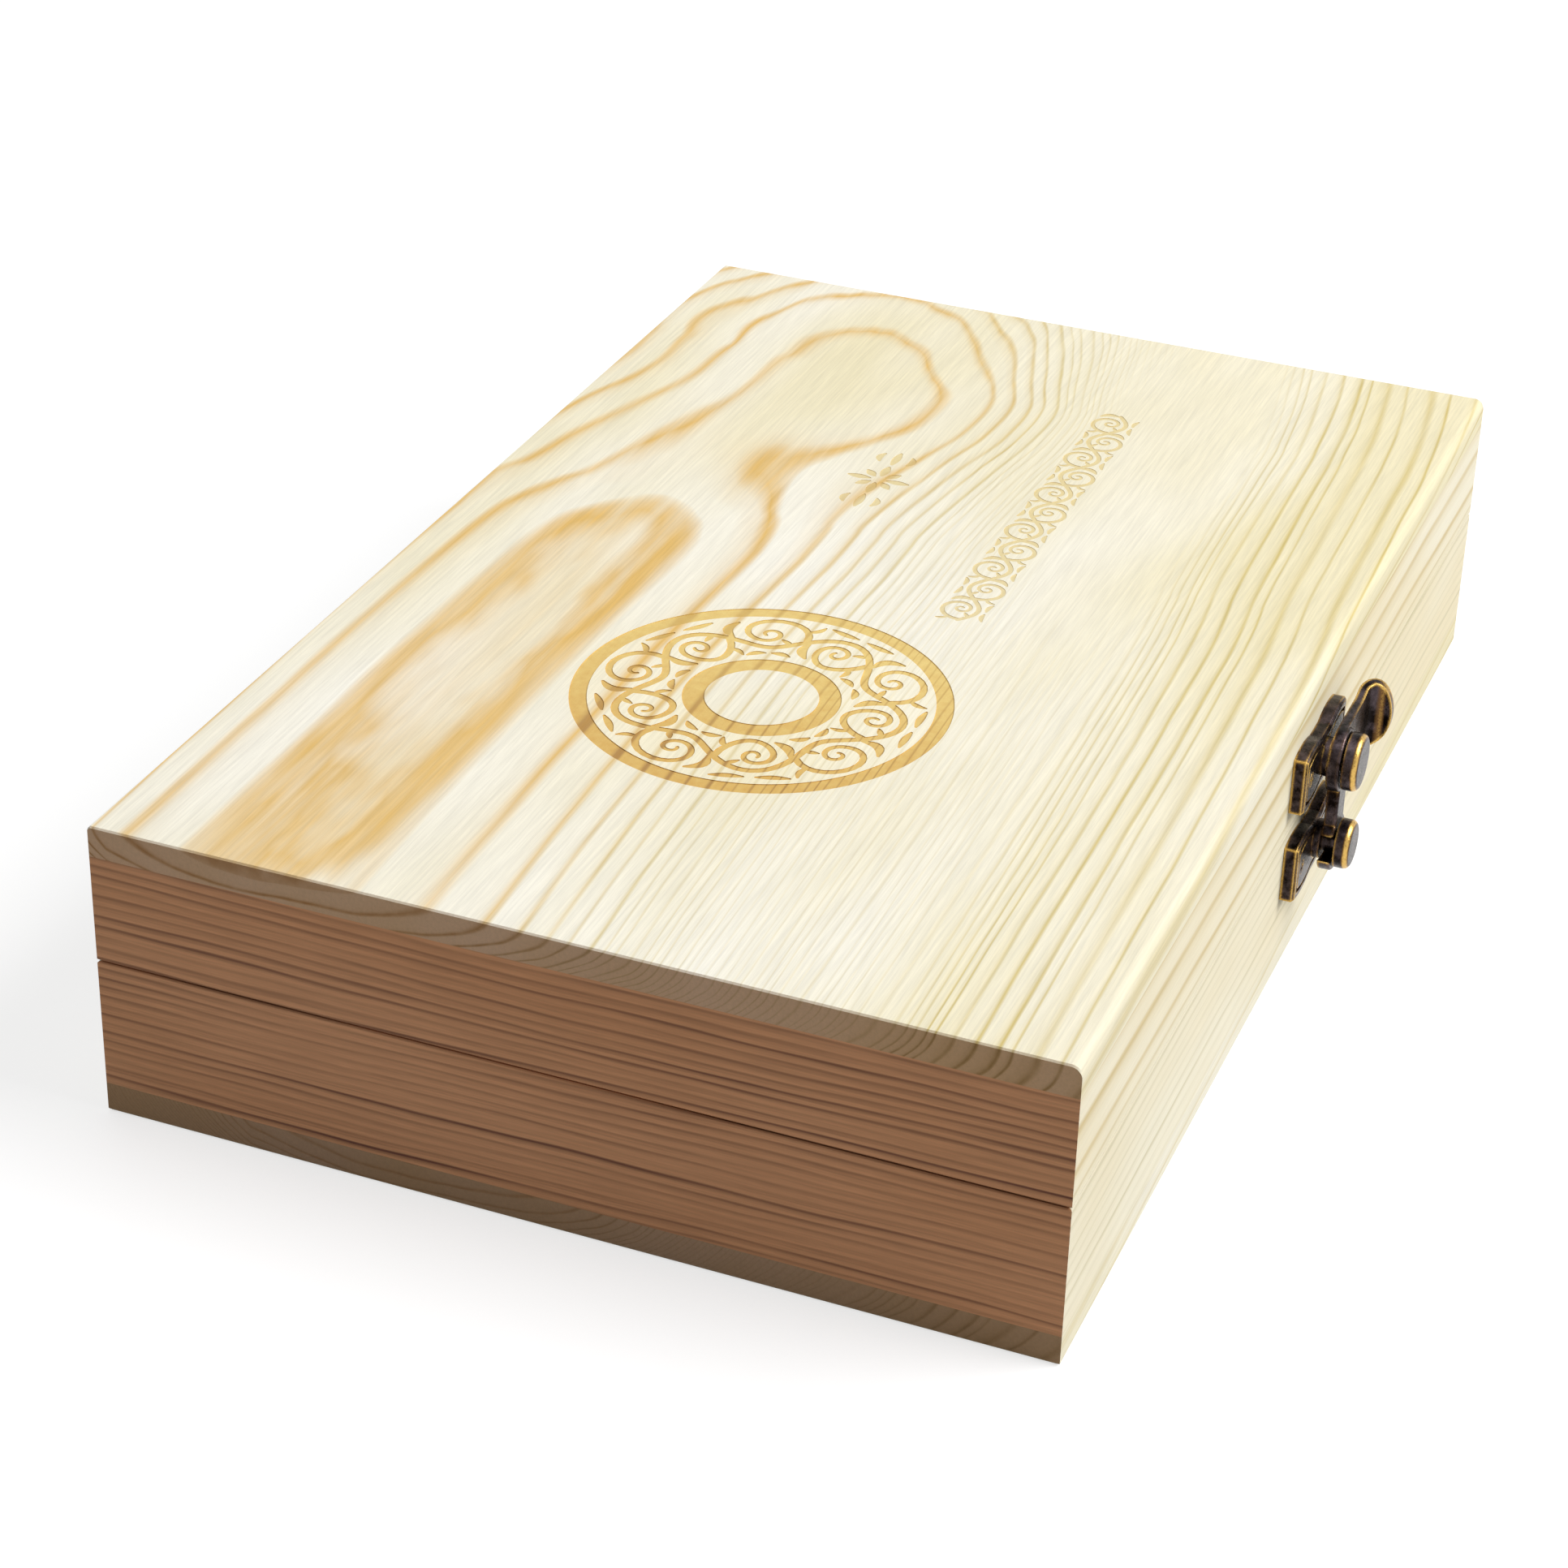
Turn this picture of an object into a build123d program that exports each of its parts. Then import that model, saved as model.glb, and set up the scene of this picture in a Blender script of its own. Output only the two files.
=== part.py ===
from build123d import *
import os
from math import cos, floor, radians, sin

# Coin display case: a pine box with a hinged lid, a swing-hook latch and a foam tray for round capsules.
# Millimetres, +Z up, +X along the length, the latch on -Y and the hinges on +Y.
# The origin is the centre of the underside of the box.

# Case
case_length = 280.0
case_width = 178.0
base_height = 31.4
lid_height = 27.0
seam_gap = 0.3  # daylight between the closed lid and the base
rail_thickness = 9.0
panel_thickness = 6.0
front_edge_radius = 2.0  # rounded top edge above the latch
eased_edge = 0.5  # light sanding of the back edge of the lid and the bottom edges

# Two rings burnt into the lid
ring_from_left = 90.5
ring_behind_middle = 2.0
ring_depth = 0.4
outer_ring_radius = 35.2
outer_ring_band = 3.3
inner_ring_radius = 14.6
inner_ring_band = 4.1

# Foam
capsule_diameter = 46.0
recess_clearance = 0.2  # all round a capsule
recess_pitch = 51.0
recess_edge_least = 3.0  # least foam left between a recess and the edge of the tray
tray_thickness = 12.0
tray_below_rim = 1.0
foam_side_gap = 0.4
finger_notch_radius = 7.0
pad_thickness = 18.5
pad_corner_radius = 6.0

# Butt hinges on the back
hinge_from_end = 54.0
hinge_width = 32.0
hinge_leaf_height = 12.5
hinge_leaf_thickness = 0.8
knuckle_count = 5
knuckle_radius = 2.0
knuckle_gap = 0.3
knuckle_off_wood = 0.3
hinge_pin_radius = 1.0
hinge_pin_head_radius = 1.6
hinge_pin_head_height = 0.8
hinge_screw_spacing = 20.0
hinge_corner_radius = 2.0

# Countersunk screws, for the hinges and the latch plates
screw_head_radius = 1.5
screw_head_height = 0.6
screw_shank_radius = 0.7
screw_shank_length = 6.0
fixed_clearance = 0.03  # between a screw or rivet and its hole
running_clearance = 0.06  # between a pin and what turns on it

# Latch
latch_right_of_middle = 2.0
latch_plate_width = 28.4
latch_plate_height = 12.4
latch_plate_thickness = 2.8
latch_scallop = 1.0
latch_plate_chamfer = 0.5
latch_groove_inset = 1.3
latch_groove_width = 0.7
latch_groove_depth = 0.4
latch_screw_spacing = 20.0
latch_boss_radius = 3.8
latch_boss_height = 1.4
pivot_above_seam = 10.5
catch_below_seam = 7.3
catch_plate_drop = 1.1  # plate's middle below the catch post
hook_gap = 0.3  # hook to boss, and hook to the button in front of it
hook_thickness = 2.4
hook_head_radius = 6.2
hook_arm_width = 5.8
hook_mouth_radius = 5.6
hook_mouth_clearance = 0.35
hook_mouth_sweep = 24.0  # degrees of the mouth's way out
hook_edge_radius = 0.5
tongue_thickness = 1.8
tongue_length = 16.0
tongue_rise = 1.4
thumb_bend_radius = 3.0
thumb_reach = 4.4  # how far the thumb tab stands out in front of the tongue
neck_radius = 2.2
rivet_radius = 1.6
pivot_button_radius = 5.6
catch_button_radius = 4.8
button_height = 2.9
button_edge_radius = 1.2

cut = 1.0  # how far a cutter runs past the face that it opens

# Worked out from the sizes above
inner_length = case_length - 2 * rail_thickness
inner_width = case_width - 2 * rail_thickness
lid_bottom = base_height + seam_gap
lid_top = lid_bottom + lid_height
lid_panel_bottom = lid_top - panel_thickness
hinge_axis_y = case_width / 2 + knuckle_off_wood + knuckle_radius
hinge_axis_z = base_height + seam_gap / 2
hinge_places = {"left": -case_length / 2 + hinge_from_end, "right": case_length / 2 - hinge_from_end}
latch_x = latch_right_of_middle
pivot_z = hinge_axis_z + pivot_above_seam
catch_z = hinge_axis_z - catch_below_seam
catch_plate_z = catch_z - catch_plate_drop
hook_back = latch_plate_thickness + latch_boss_height + hook_gap
button_back = hook_back + hook_thickness + hook_gap
front_face = Plane.XZ.offset(case_width / 2)  # local x is +X, local y is +Z, normal points out of the front
back_face = Plane(origin=(0, case_width / 2, 0), x_dir=(-1, 0, 0), z_dir=(0, 1, 0))


def mitred_rail(length, z_low, z_high, eased_z):
    """A rail along X with 45-degree ends, its outer face at y = 0 and its outer edge at eased_z softened."""
    outline = Polyline(
        (-length / 2, 0), (length / 2, 0), (length / 2 - rail_thickness, rail_thickness),
        (-length / 2 + rail_thickness, rail_thickness), close=True,
    )
    rail = Pos(0, 0, z_low) * extrude(make_face(outline), amount=z_high - z_low)
    edges = rail.edges().filter_by(Axis.X).filter_by_position(Axis.Y, -0.01, 0.01)
    return chamfer(edges.filter_by_position(Axis.Z, eased_z - 0.01, eased_z + 0.01), eased_edge / 2)


def frame_rails(z_low, z_high, eased_z):
    """The four mitred rails of one half of the case, by side."""
    along, across = (mitred_rail(size, z_low, z_high, eased_z) for size in (case_length, case_width))
    return {
        "front": Pos(0, -case_width / 2, 0) * along,
        "back": Pos(0, case_width / 2, 0) * Rot(0, 0, 180) * along,
        "left": Pos(-case_length / 2, 0, 0) * Rot(0, 0, -90) * across,
        "right": Pos(case_length / 2, 0, 0) * Rot(0, 0, 90) * across,
    }


def bottom_panel():
    """The floor of the base, under all four rails."""
    panel = Pos(0, 0, panel_thickness / 2) * Box(case_length, case_width, panel_thickness)
    return chamfer(panel.edges().group_by(Axis.Z)[0], eased_edge)


def ring_groove(outer_radius, band):
    """Cutter for one shallow ring in the top of the lid."""
    height = ring_depth + cut
    ring = Cylinder(outer_radius, height) - Cylinder(outer_radius - band, height + cut)
    place = Pos(-case_length / 2 + ring_from_left, ring_behind_middle, lid_top - ring_depth + height / 2)
    return place * ring


def top_panel():
    """The lid's panel: a rounded front edge, an eased back edge, crisp ends and the two ring grooves."""
    panel = Pos(0, 0, lid_panel_bottom + panel_thickness / 2) * Box(case_length, case_width, panel_thickness)
    panel = fillet(panel.edges().group_by(Axis.Z)[-1].sort_by(Axis.Y)[0], front_edge_radius)
    panel = chamfer(panel.edges().group_by(Axis.Z)[-1].sort_by(Axis.Y)[-1], eased_edge)
    panel -= ring_groove(outer_ring_radius, outer_ring_band)
    panel -= ring_groove(inner_ring_radius, inner_ring_band)
    return panel


def recess_places():
    """Centres of the capsule recesses: as many as fit the tray, in a centred grid."""
    recess_radius = capsule_diameter / 2 + recess_clearance
    counts = []
    for span in (inner_length, inner_width):
        room = span - 2 * foam_side_gap - 2 * recess_edge_least - 2 * recess_radius
        counts.append(1 + max(0, floor(room / recess_pitch)))
    return [
        ((column - (counts[0] - 1) / 2) * recess_pitch, (row - (counts[1] - 1) / 2) * recess_pitch)
        for row in range(counts[1])
        for column in range(counts[0])
    ]


def foam_tray():
    """Die-cut sheet with a through recess for each capsule and a finger notch on the recess's edge."""
    recess_radius = capsule_diameter / 2 + recess_clearance
    notch_offset = recess_radius * cos(radians(45))
    sheet = Rectangle(inner_length - 2 * foam_side_gap, inner_width - 2 * foam_side_gap)
    for x, y in recess_places():
        sheet -= Pos(x, y) * Circle(recess_radius)
        sheet -= Pos(x + notch_offset, y + notch_offset) * Circle(finger_notch_radius)
    return Pos(0, 0, base_height - tray_below_rim - tray_thickness) * extrude(sheet, amount=tray_thickness)


def foam_riser():
    """Plain sheet that lifts the tray to just below the rim."""
    height = base_height - tray_below_rim - tray_thickness - panel_thickness
    sheet = Rectangle(inner_length - 2 * foam_side_gap, inner_width - 2 * foam_side_gap)
    return Pos(0, 0, panel_thickness) * extrude(sheet, amount=height)


def lid_pad():
    """Soft pad glued under the lid's panel."""
    outline = RectangleRounded(
        inner_length - 2 * foam_side_gap, inner_width - 2 * foam_side_gap, pad_corner_radius
    )
    return Pos(0, 0, lid_panel_bottom - pad_thickness) * extrude(outline, amount=pad_thickness)


def screw(plane, x, z, face_height):
    """A countersunk screw in a face of the case, its head flush with the metal's face."""
    profile = Polyline(
        (0, face_height), (screw_head_radius, face_height),
        (screw_shank_radius, face_height - screw_head_height),
        (screw_shank_radius, -screw_shank_length), (0, -screw_shank_length - screw_shank_radius), close=True,
    )
    body = revolve(Plane.XZ * make_face(profile), Axis.Z)
    return plane * Pos(x, z, 0) * body


def screw_hole(plane, x, z, face_height):
    """Cutter for a screw: its shank and countersink with the fixed clearance all round."""
    grown = fixed_clearance
    profile = Polyline(
        (0, face_height + cut), (screw_head_radius + grown, face_height + cut),
        (screw_head_radius + grown, face_height),
        (screw_shank_radius + grown, face_height - screw_head_height - grown),
        (screw_shank_radius + grown, -screw_shank_length - screw_shank_radius - grown),
        (0, -screw_shank_length - screw_shank_radius - grown), close=True,
    )
    return plane * Pos(x, z, 0) * revolve(Plane.XZ * make_face(profile), Axis.Z)


def hinge_screw_places(side):
    """Screw places on the back face, in its own x and height: side 1 is the lid, side -1 the base."""
    reach = hinge_leaf_height / 2 + knuckle_radius
    return [
        (-x + across * hinge_screw_spacing / 2, hinge_axis_z + side * reach)
        for x in hinge_places.values()
        for across in (-1, 1)
    ]


def latch_screw_places(z):
    """The two screw places of a latch plate on the front face."""
    return [(latch_x + across * latch_screw_spacing / 2, z) for across in (-1, 1)]


def hinge_leaf(x, side):
    """One leaf with its own knuckles: side 1 is the lid's leaf, side -1 the base's."""
    pitch = hinge_width / knuckle_count
    knuckle_length = pitch - knuckle_gap
    barrel = Plane.YZ * Circle(knuckle_radius)
    bore = hinge_pin_radius + (running_clearance if side > 0 else fixed_clearance)
    relief = knuckle_radius + knuckle_off_wood
    plate = back_face * Pos(0, hinge_axis_z + side * hinge_leaf_height / 2) * RectangleRounded(
        hinge_width, hinge_leaf_height, hinge_corner_radius
    )
    leaf = extrude(plate, amount=hinge_leaf_thickness)
    leaf -= Pos(0, case_width / 2, hinge_axis_z) * Box(hinge_width + cut, 4 * knuckle_radius, 2 * relief)
    for index in range(knuckle_count):
        own = index % 2 == (0 if side < 0 else 1)
        if not own:
            continue
        start = -hinge_width / 2 + index * pitch + knuckle_gap / 2
        leaf += Pos(start, hinge_axis_y, hinge_axis_z) * extrude(barrel, amount=knuckle_length)
        strap_place = (Align.MIN, Align.MIN, Align.CENTER)
        strap = Box(knuckle_length, hinge_leaf_thickness, relief + cut, align=strap_place)
        leaf += Pos(start, case_width / 2, hinge_axis_z + side * (relief + cut) / 2) * strap
    leaf -= Pos(0, hinge_axis_y, hinge_axis_z) * Rot(0, 90, 0) * Cylinder(bore, hinge_width + cut)
    leaf = Pos(x, 0, 0) * leaf
    for across, height in hinge_screw_places(side):
        leaf -= screw_hole(back_face, across, height, hinge_leaf_thickness)
    return leaf


def hinge_pin(x):
    """Pin with a small domed head at each end of the knuckles."""
    half = hinge_width / 2
    profile = Polyline(
        (0, -half - hinge_pin_head_height), (hinge_pin_head_radius / 2, -half - hinge_pin_head_height),
        (hinge_pin_head_radius, -half), (hinge_pin_radius, -half), (hinge_pin_radius, half),
        (hinge_pin_head_radius, half), (hinge_pin_head_radius / 2, half + hinge_pin_head_height),
        (0, half + hinge_pin_head_height), close=True,
    )
    return Pos(x, hinge_axis_y, hinge_axis_z) * Rot(0, 90, 0) * revolve(Plane.XZ * make_face(profile), Axis.Z)


def scalloped(inset):
    """Outline of a latch plate: square ends, two rounded lobes and a dip between them on both long edges."""
    half_width = latch_plate_width / 2 - inset
    half_height = latch_plate_height / 2 - inset
    shoulder = half_height - latch_scallop * 0.6
    dip = half_height - latch_scallop
    edges = []
    for side in (1, -1):
        edges += [
            ThreePointArc(
                (-side * half_width, side * shoulder), (-side * half_width * 0.55, side * half_height),
                (-side * half_width * 0.2, side * dip),
            ),
            Line((-side * half_width * 0.2, side * dip), (side * half_width * 0.2, side * dip)),
            ThreePointArc(
                (side * half_width * 0.2, side * dip), (side * half_width * 0.55, side * half_height),
                (side * half_width, side * shoulder),
            ),
            Line((side * half_width, side * shoulder), (side * half_width, -side * shoulder)),
        ]
    return make_face(Curve() + edges)


def latch_plate(z, drop):
    """Cast plate with its boss at height z and its outline centred the given drop below the boss."""
    plate = extrude(scalloped(0), amount=latch_plate_thickness)
    plate = chamfer(plate.faces().sort_by(Axis.Z)[-1].edges(), latch_plate_chamfer)
    border = scalloped(latch_groove_inset) - scalloped(latch_groove_inset + latch_groove_width)
    groove_floor = latch_plate_thickness - latch_groove_depth
    plate -= Pos(0, 0, groove_floor) * extrude(border, amount=latch_groove_depth + cut)
    boss_top = latch_plate_thickness + latch_boss_height
    plate += Pos(0, drop, 0) * extrude(Circle(latch_boss_radius), amount=boss_top)
    plate -= Pos(0, drop, 0) * extrude(Circle(rivet_radius + fixed_clearance), amount=boss_top + cut)
    plate = front_face * Pos(latch_x, z - drop, 0) * plate
    for x, height in latch_screw_places(z - drop):
        plate -= screw_hole(front_face, x, height, latch_plate_thickness)
    return plate


def button_post(z, button_radius):
    """Riveted post: a shank in the plate, a neck that the hook turns or closes on, and a round button."""
    boss_top = latch_plate_thickness + latch_boss_height
    top = button_back + button_height
    profile = Polyline(
        (0, fixed_clearance), (rivet_radius, fixed_clearance), (rivet_radius, boss_top),
        (neck_radius, boss_top), (neck_radius, button_back), (button_radius, button_back),
        (button_radius, top), (0, top), close=True,
    )
    post = revolve(Plane.XZ * make_face(profile), Axis.Z)
    post = fillet(post.edges().filter_by(GeomType.CIRCLE).group_by(Axis.Z)[-1], button_edge_radius)
    return front_face * Pos(latch_x, z, 0) * post


def latch_hook():
    """Swing hook: a head on the pivot, an arm down to the catch and a tongue curling out to a thumb tab."""
    drop = pivot_z - catch_z
    mouth = neck_radius + hook_mouth_clearance
    arm = Circle(hook_head_radius) + Pos(0, -drop / 2) * Rectangle(hook_arm_width, drop)
    arm += Pos(0, -drop) * Circle(hook_mouth_radius)
    way_out = Circle(drop + mouth) - Circle(drop - mouth)
    reach = 2 * drop
    sweep = radians(hook_mouth_sweep)
    sector_end = (-reach * sin(sweep), -reach * cos(sweep))
    way_out &= make_face(Polyline((0, 0), (0, -reach), sector_end, close=True))
    arm -= way_out
    arm -= Pos(0, -drop) * Circle(mouth)
    body = Pos(0, 0, hook_back) * extrude(arm, amount=hook_thickness)
    body = fillet(body.faces().sort_by(Axis.Z)[-1].edges(), hook_edge_radius)

    # The tongue in plan, straight and then turned outwards, cut to its outline from the front and from the side
    front = hook_back + tongue_thickness
    bend = tongue_length + thumb_bend_radius
    tab = bend + tongue_thickness
    curl = front + thumb_bend_radius
    tip = front + thumb_reach
    half_turn = cos(radians(45))
    plan = Curve() + [
        Line((0, hook_back), (tongue_length, hook_back)),
        ThreePointArc(
            (tongue_length, hook_back),
            (
                tongue_length + (thumb_bend_radius + tongue_thickness) * half_turn,
                curl - (thumb_bend_radius + tongue_thickness) * half_turn,
            ),
            (tab, curl),
        ),
        Line((tab, curl), (tab, tip)), Line((tab, tip), (bend, tip)), Line((bend, tip), (bend, curl)),
        ThreePointArc(
            (bend, curl),
            (tongue_length + thumb_bend_radius * half_turn, curl - thumb_bend_radius * half_turn),
            (tongue_length, front),
        ),
        Line((tongue_length, front), (0, front)), Line((0, front), (0, hook_back)),
    ]
    tall = 4 * hook_head_radius
    tongue = extrude(Plane.XZ * make_face(plan), amount=tall / 2, both=True)
    outline = Polyline(
        (0, -hook_head_radius), (tab + cut, -hook_head_radius), (tab + cut, hook_head_radius + tongue_rise),
        (tongue_length + thumb_bend_radius, hook_head_radius + tongue_rise),
        (tongue_length - thumb_bend_radius, hook_head_radius), (0, hook_head_radius), close=True,
    )
    tongue &= extrude(make_face(outline), amount=tip + cut)
    rounding = Pos(tongue_rise / 2, front) * Ellipse(hook_head_radius + tongue_rise / 2, thumb_reach)
    rounding += Rectangle(tall, 2 * front)
    tongue &= extrude(Plane.YZ * rounding, amount=tall)
    hole = neck_radius + running_clearance
    body += tongue
    body -= Pos(0, 0, hook_back) * Cylinder(hole, 4 * hook_thickness)
    return front_face * Pos(latch_x, pivot_z, 0) * body


def drilled(piece, plane, places, face_height):
    """A piece of wood with the pilot holes of the given screws."""
    for x, z in places:
        piece -= screw_hole(plane, x, z, face_height)
    return piece


base_rails = frame_rails(panel_thickness, base_height, base_height)
lid_rails = frame_rails(lid_bottom, lid_panel_bottom, lid_bottom)

base_hinge_places = hinge_screw_places(-1)
lid_hinge_places = hinge_screw_places(1)
base_rails["back"] = drilled(base_rails["back"], back_face, base_hinge_places, hinge_leaf_thickness)
lid_rails["back"] = drilled(lid_rails["back"], back_face, lid_hinge_places, hinge_leaf_thickness)
catch_screw_places = latch_screw_places(catch_plate_z)
pivot_screw_places = latch_screw_places(pivot_z)
base_rails["front"] = drilled(base_rails["front"], front_face, catch_screw_places, latch_plate_thickness)
lid_rails["front"] = drilled(lid_rails["front"], front_face, pivot_screw_places, latch_plate_thickness)

pieces = {
    "base_bottom_panel": bottom_panel(),
    "lid_top_panel": top_panel(),
    "foam_riser": foam_riser(),
    "foam_tray": foam_tray(),
    "lid_pad": lid_pad(),
    "base_hinge_screws": [screw(back_face, x, z, hinge_leaf_thickness) for x, z in base_hinge_places],
    "lid_hinge_screws": [screw(back_face, x, z, hinge_leaf_thickness) for x, z in lid_hinge_places],
    "latch_pivot_plate": latch_plate(pivot_z, 0),
    "latch_catch_plate": latch_plate(catch_z, catch_plate_drop),
    "latch_pivot_post": button_post(pivot_z, pivot_button_radius),
    "latch_catch_post": button_post(catch_z, catch_button_radius),
    "latch_hook": latch_hook(),
    "latch_pivot_screws": [screw(front_face, x, z, latch_plate_thickness) for x, z in pivot_screw_places],
    "latch_catch_screws": [screw(front_face, x, z, latch_plate_thickness) for x, z in catch_screw_places],
}
for side in ("front", "back", "left", "right"):
    pieces[f"base_{side}_rail"] = base_rails[side]
    pieces[f"lid_{side}_rail"] = lid_rails[side]
for side, x in hinge_places.items():
    pieces[f"hinge_{side}_base_leaf"] = hinge_leaf(x, -1)
    pieces[f"hinge_{side}_lid_leaf"] = hinge_leaf(x, 1)
    pieces[f"hinge_{side}_pin"] = hinge_pin(x)

os.makedirs("parts", exist_ok=True)
for node, piece in pieces.items():
    shape = Compound(children=piece) if isinstance(piece, list) else piece
    export_step(shape, f"parts/{node}.step")
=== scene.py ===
"""Coin display case: a pine box with a burnt ornament, an aged bronze latch and a foam tray.

Every named size is in millimetres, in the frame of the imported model, and becomes metres where a mesh is made.
"""

import logging
from collections.abc import Callable
from dataclasses import dataclass, field
from enum import Enum
from functools import partial
from math import acos, atan2, cos, degrees, pi, radians, sin, tau
from random import Random

import bmesh
import bpy
from mathutils import Matrix, Vector, noise
from mathutils.geometry import delaunay_2d_cdt


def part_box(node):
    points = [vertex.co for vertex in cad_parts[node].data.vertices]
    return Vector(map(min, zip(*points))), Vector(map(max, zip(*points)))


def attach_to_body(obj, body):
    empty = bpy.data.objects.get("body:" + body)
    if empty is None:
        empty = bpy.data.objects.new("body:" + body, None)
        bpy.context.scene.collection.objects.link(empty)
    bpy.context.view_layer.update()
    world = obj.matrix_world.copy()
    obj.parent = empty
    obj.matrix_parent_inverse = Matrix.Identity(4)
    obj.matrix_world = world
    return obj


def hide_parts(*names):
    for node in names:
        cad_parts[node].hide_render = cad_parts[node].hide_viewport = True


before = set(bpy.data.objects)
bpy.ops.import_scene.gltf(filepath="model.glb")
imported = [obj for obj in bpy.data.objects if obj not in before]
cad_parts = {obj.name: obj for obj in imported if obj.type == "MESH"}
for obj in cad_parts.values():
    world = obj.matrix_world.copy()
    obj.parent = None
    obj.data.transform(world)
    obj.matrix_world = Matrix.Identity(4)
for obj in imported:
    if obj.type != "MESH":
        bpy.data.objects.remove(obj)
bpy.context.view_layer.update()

METRE = 1000.0  # millimetres in a metre
Point = tuple[float, float]
Place = tuple[float, float, float]
Loop = list[Point]
Socket = bpy.types.NodeSocket
Value = Socket | float
log = logging.getLogger("coin_case")


def node_box(node: str) -> tuple[Vector, Vector]:
    """Give the box of a CAD node in millimetres.

    Args:
        node: The node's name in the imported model.

    Returns:
        The lowest and the highest corner.
    """
    low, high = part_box(node)
    return low * METRE, high * METRE


def linear(code: str) -> tuple[float, float, float, float]:
    """Turn an sRGB hex colour to the linear values that a shader takes.

    Args:
        code: The colour as "#RRGGBB".

    Returns:
        Red, green, blue and an alpha of 1.
    """
    shares = [int(code[i : i + 2], 16) / 255 for i in (1, 3, 5)]
    red, green, blue = (s / 12.92 if s <= 0.04045 else ((s + 0.055) / 1.055) ** 2.4 for s in shares)
    return red, green, blue, 1.0


# --------------------------------------------------------------------------------------------- finishes


class Mixture:
    """The nodes of a finish, or of the world, while they are put together."""

    def __init__(self, owner: bpy.types.Material | bpy.types.World) -> None:
        """Start with no nodes.

        Args:
            owner: The material or the world.
        """
        owner.use_nodes = True
        self.tree = owner.node_tree
        self.tree.nodes.clear()

    def add(self, kind: str, links: dict | list = (), out: str | None = None, **settings) -> Socket | None:
        """Add one node with its settings and links.

        Args:
            kind: The node's type without its "ShaderNode", then a dot and its operation if it has one.
            links: What goes into each input, in order or by name or number: a socket, a value or a colour.
            out: The output to hand back; without a name it is the first one in use.
            settings: The node's own settings; stops fills a colour ramp and points a curve.

        Returns:
            The output, or None for a node that has none.
        """
        kind, _, operation = kind.partition(".")
        node = self.tree.nodes.new("ShaderNode" + kind)
        stops, points = settings.pop("stops", ()), settings.pop("points", ())
        if operation:
            node.operation = operation
        for key, value in settings.items():
            setattr(node, key, value)
        for number, (place, grey) in enumerate(stops):
            ramp = node.color_ramp.elements
            element = ramp[number] if number < len(ramp) else ramp.new(1.0)
            element.position = place
            element.color = (grey, grey, grey, 1)
        for number, place in enumerate(points):
            curve = node.mapping.curves[0].points
            handle = curve[number] if number < len(curve) else curve.new(1.0, 1.0)
            handle.location = place
        if points:
            node.mapping.update()
        for key, value in links.items() if isinstance(links, dict) else enumerate(links):
            entry = node.inputs[key]
            if isinstance(value, Socket):
                self.tree.links.new(value, entry)
            elif isinstance(value, str):
                entry.default_value = linear(value)[: len(entry.default_value)]
            else:
                entry.default_value = value
        found = [output for output in node.outputs if output.enabled and out in (None, output.name)]
        return found[0] if found else None

    def ramp(
        self, value: Socket, start: float, end: float, low: Value = 0.0, high: Value = 1.0, **settings: str
    ) -> Socket:
        """Go from low to high as a value goes from start to end, and no further."""
        return self.add("MapRange", [value, start, end, low, high], **settings)

    def curve(self, value: Socket, points: tuple[Point, ...]) -> Socket:
        """Read a curve through points at a value from 0 to 1."""
        return self.add("FloatCurve", {"Value": value}, points=points)

    def axis(self, vector: Socket, name: str) -> Socket:
        """Give one coordinate of a vector."""
        return self.add("SeparateXYZ", [vector], name)

    def blend(self, share: Value, none: Value, full: Value) -> Socket:
        """Go from one value to another as a share goes from 0 to 1."""
        return self.add("Mix", {0: share, 2: none, 3: full})  # its inputs 2 and 3 take numbers

    def tint(self, share: Value, none: Socket | str, full: Socket | str) -> Socket:
        """Go from one colour to another as a share goes from 0 to 1."""
        return self.add("Mix", {0: share, 6: none, 7: full}, data_type="RGBA")  # 6 and 7 take colours

    def scale(self, vector: Socket, factor: Value) -> Socket:
        """Multiply a vector or a colour by one number."""
        return self.add("VectorMath.SCALE", {0: vector, "Scale": factor})

    def places(self, unit: float = 1.0) -> Socket:
        """Give the place on the object, counted in a unit given in millimetres."""
        return self.scale(self.add("TexCoord", out="Object"), METRE / unit)

    def distance(self, value: Socket, middle: float) -> Socket:
        """Give how far a value is from a middle, either way."""
        return self.add("Math.ABSOLUTE", [self.add("Math.SUBTRACT", [value, middle])])


class Finish(Mixture):
    """A material with one Principled shader."""

    def __init__(self, name: str, **values: float | str) -> None:
        """Start the material with its shader.

        Args:
            name: The material's name.
            values: Values for the shader's own sockets, with _ for a space.
        """
        self.material = bpy.data.materials.new(name)
        super().__init__(self.material)
        surface = self.add("BsdfPrincipled", {key.replace("_", " "): value for key, value in values.items()})
        self.shader = surface.node
        self.add("OutputMaterial", {"Surface": surface})

    def done(self, **links: Socket) -> bpy.types.Material:
        """Link sockets to the shader's inputs.

        Args:
            links: The socket for each input, with _ for a space.

        Returns:
            The finished material.
        """
        for key, socket in links.items():
            self.tree.links.new(socket, self.shader.inputs[key.replace("_", " ")])
        return self.material


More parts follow.
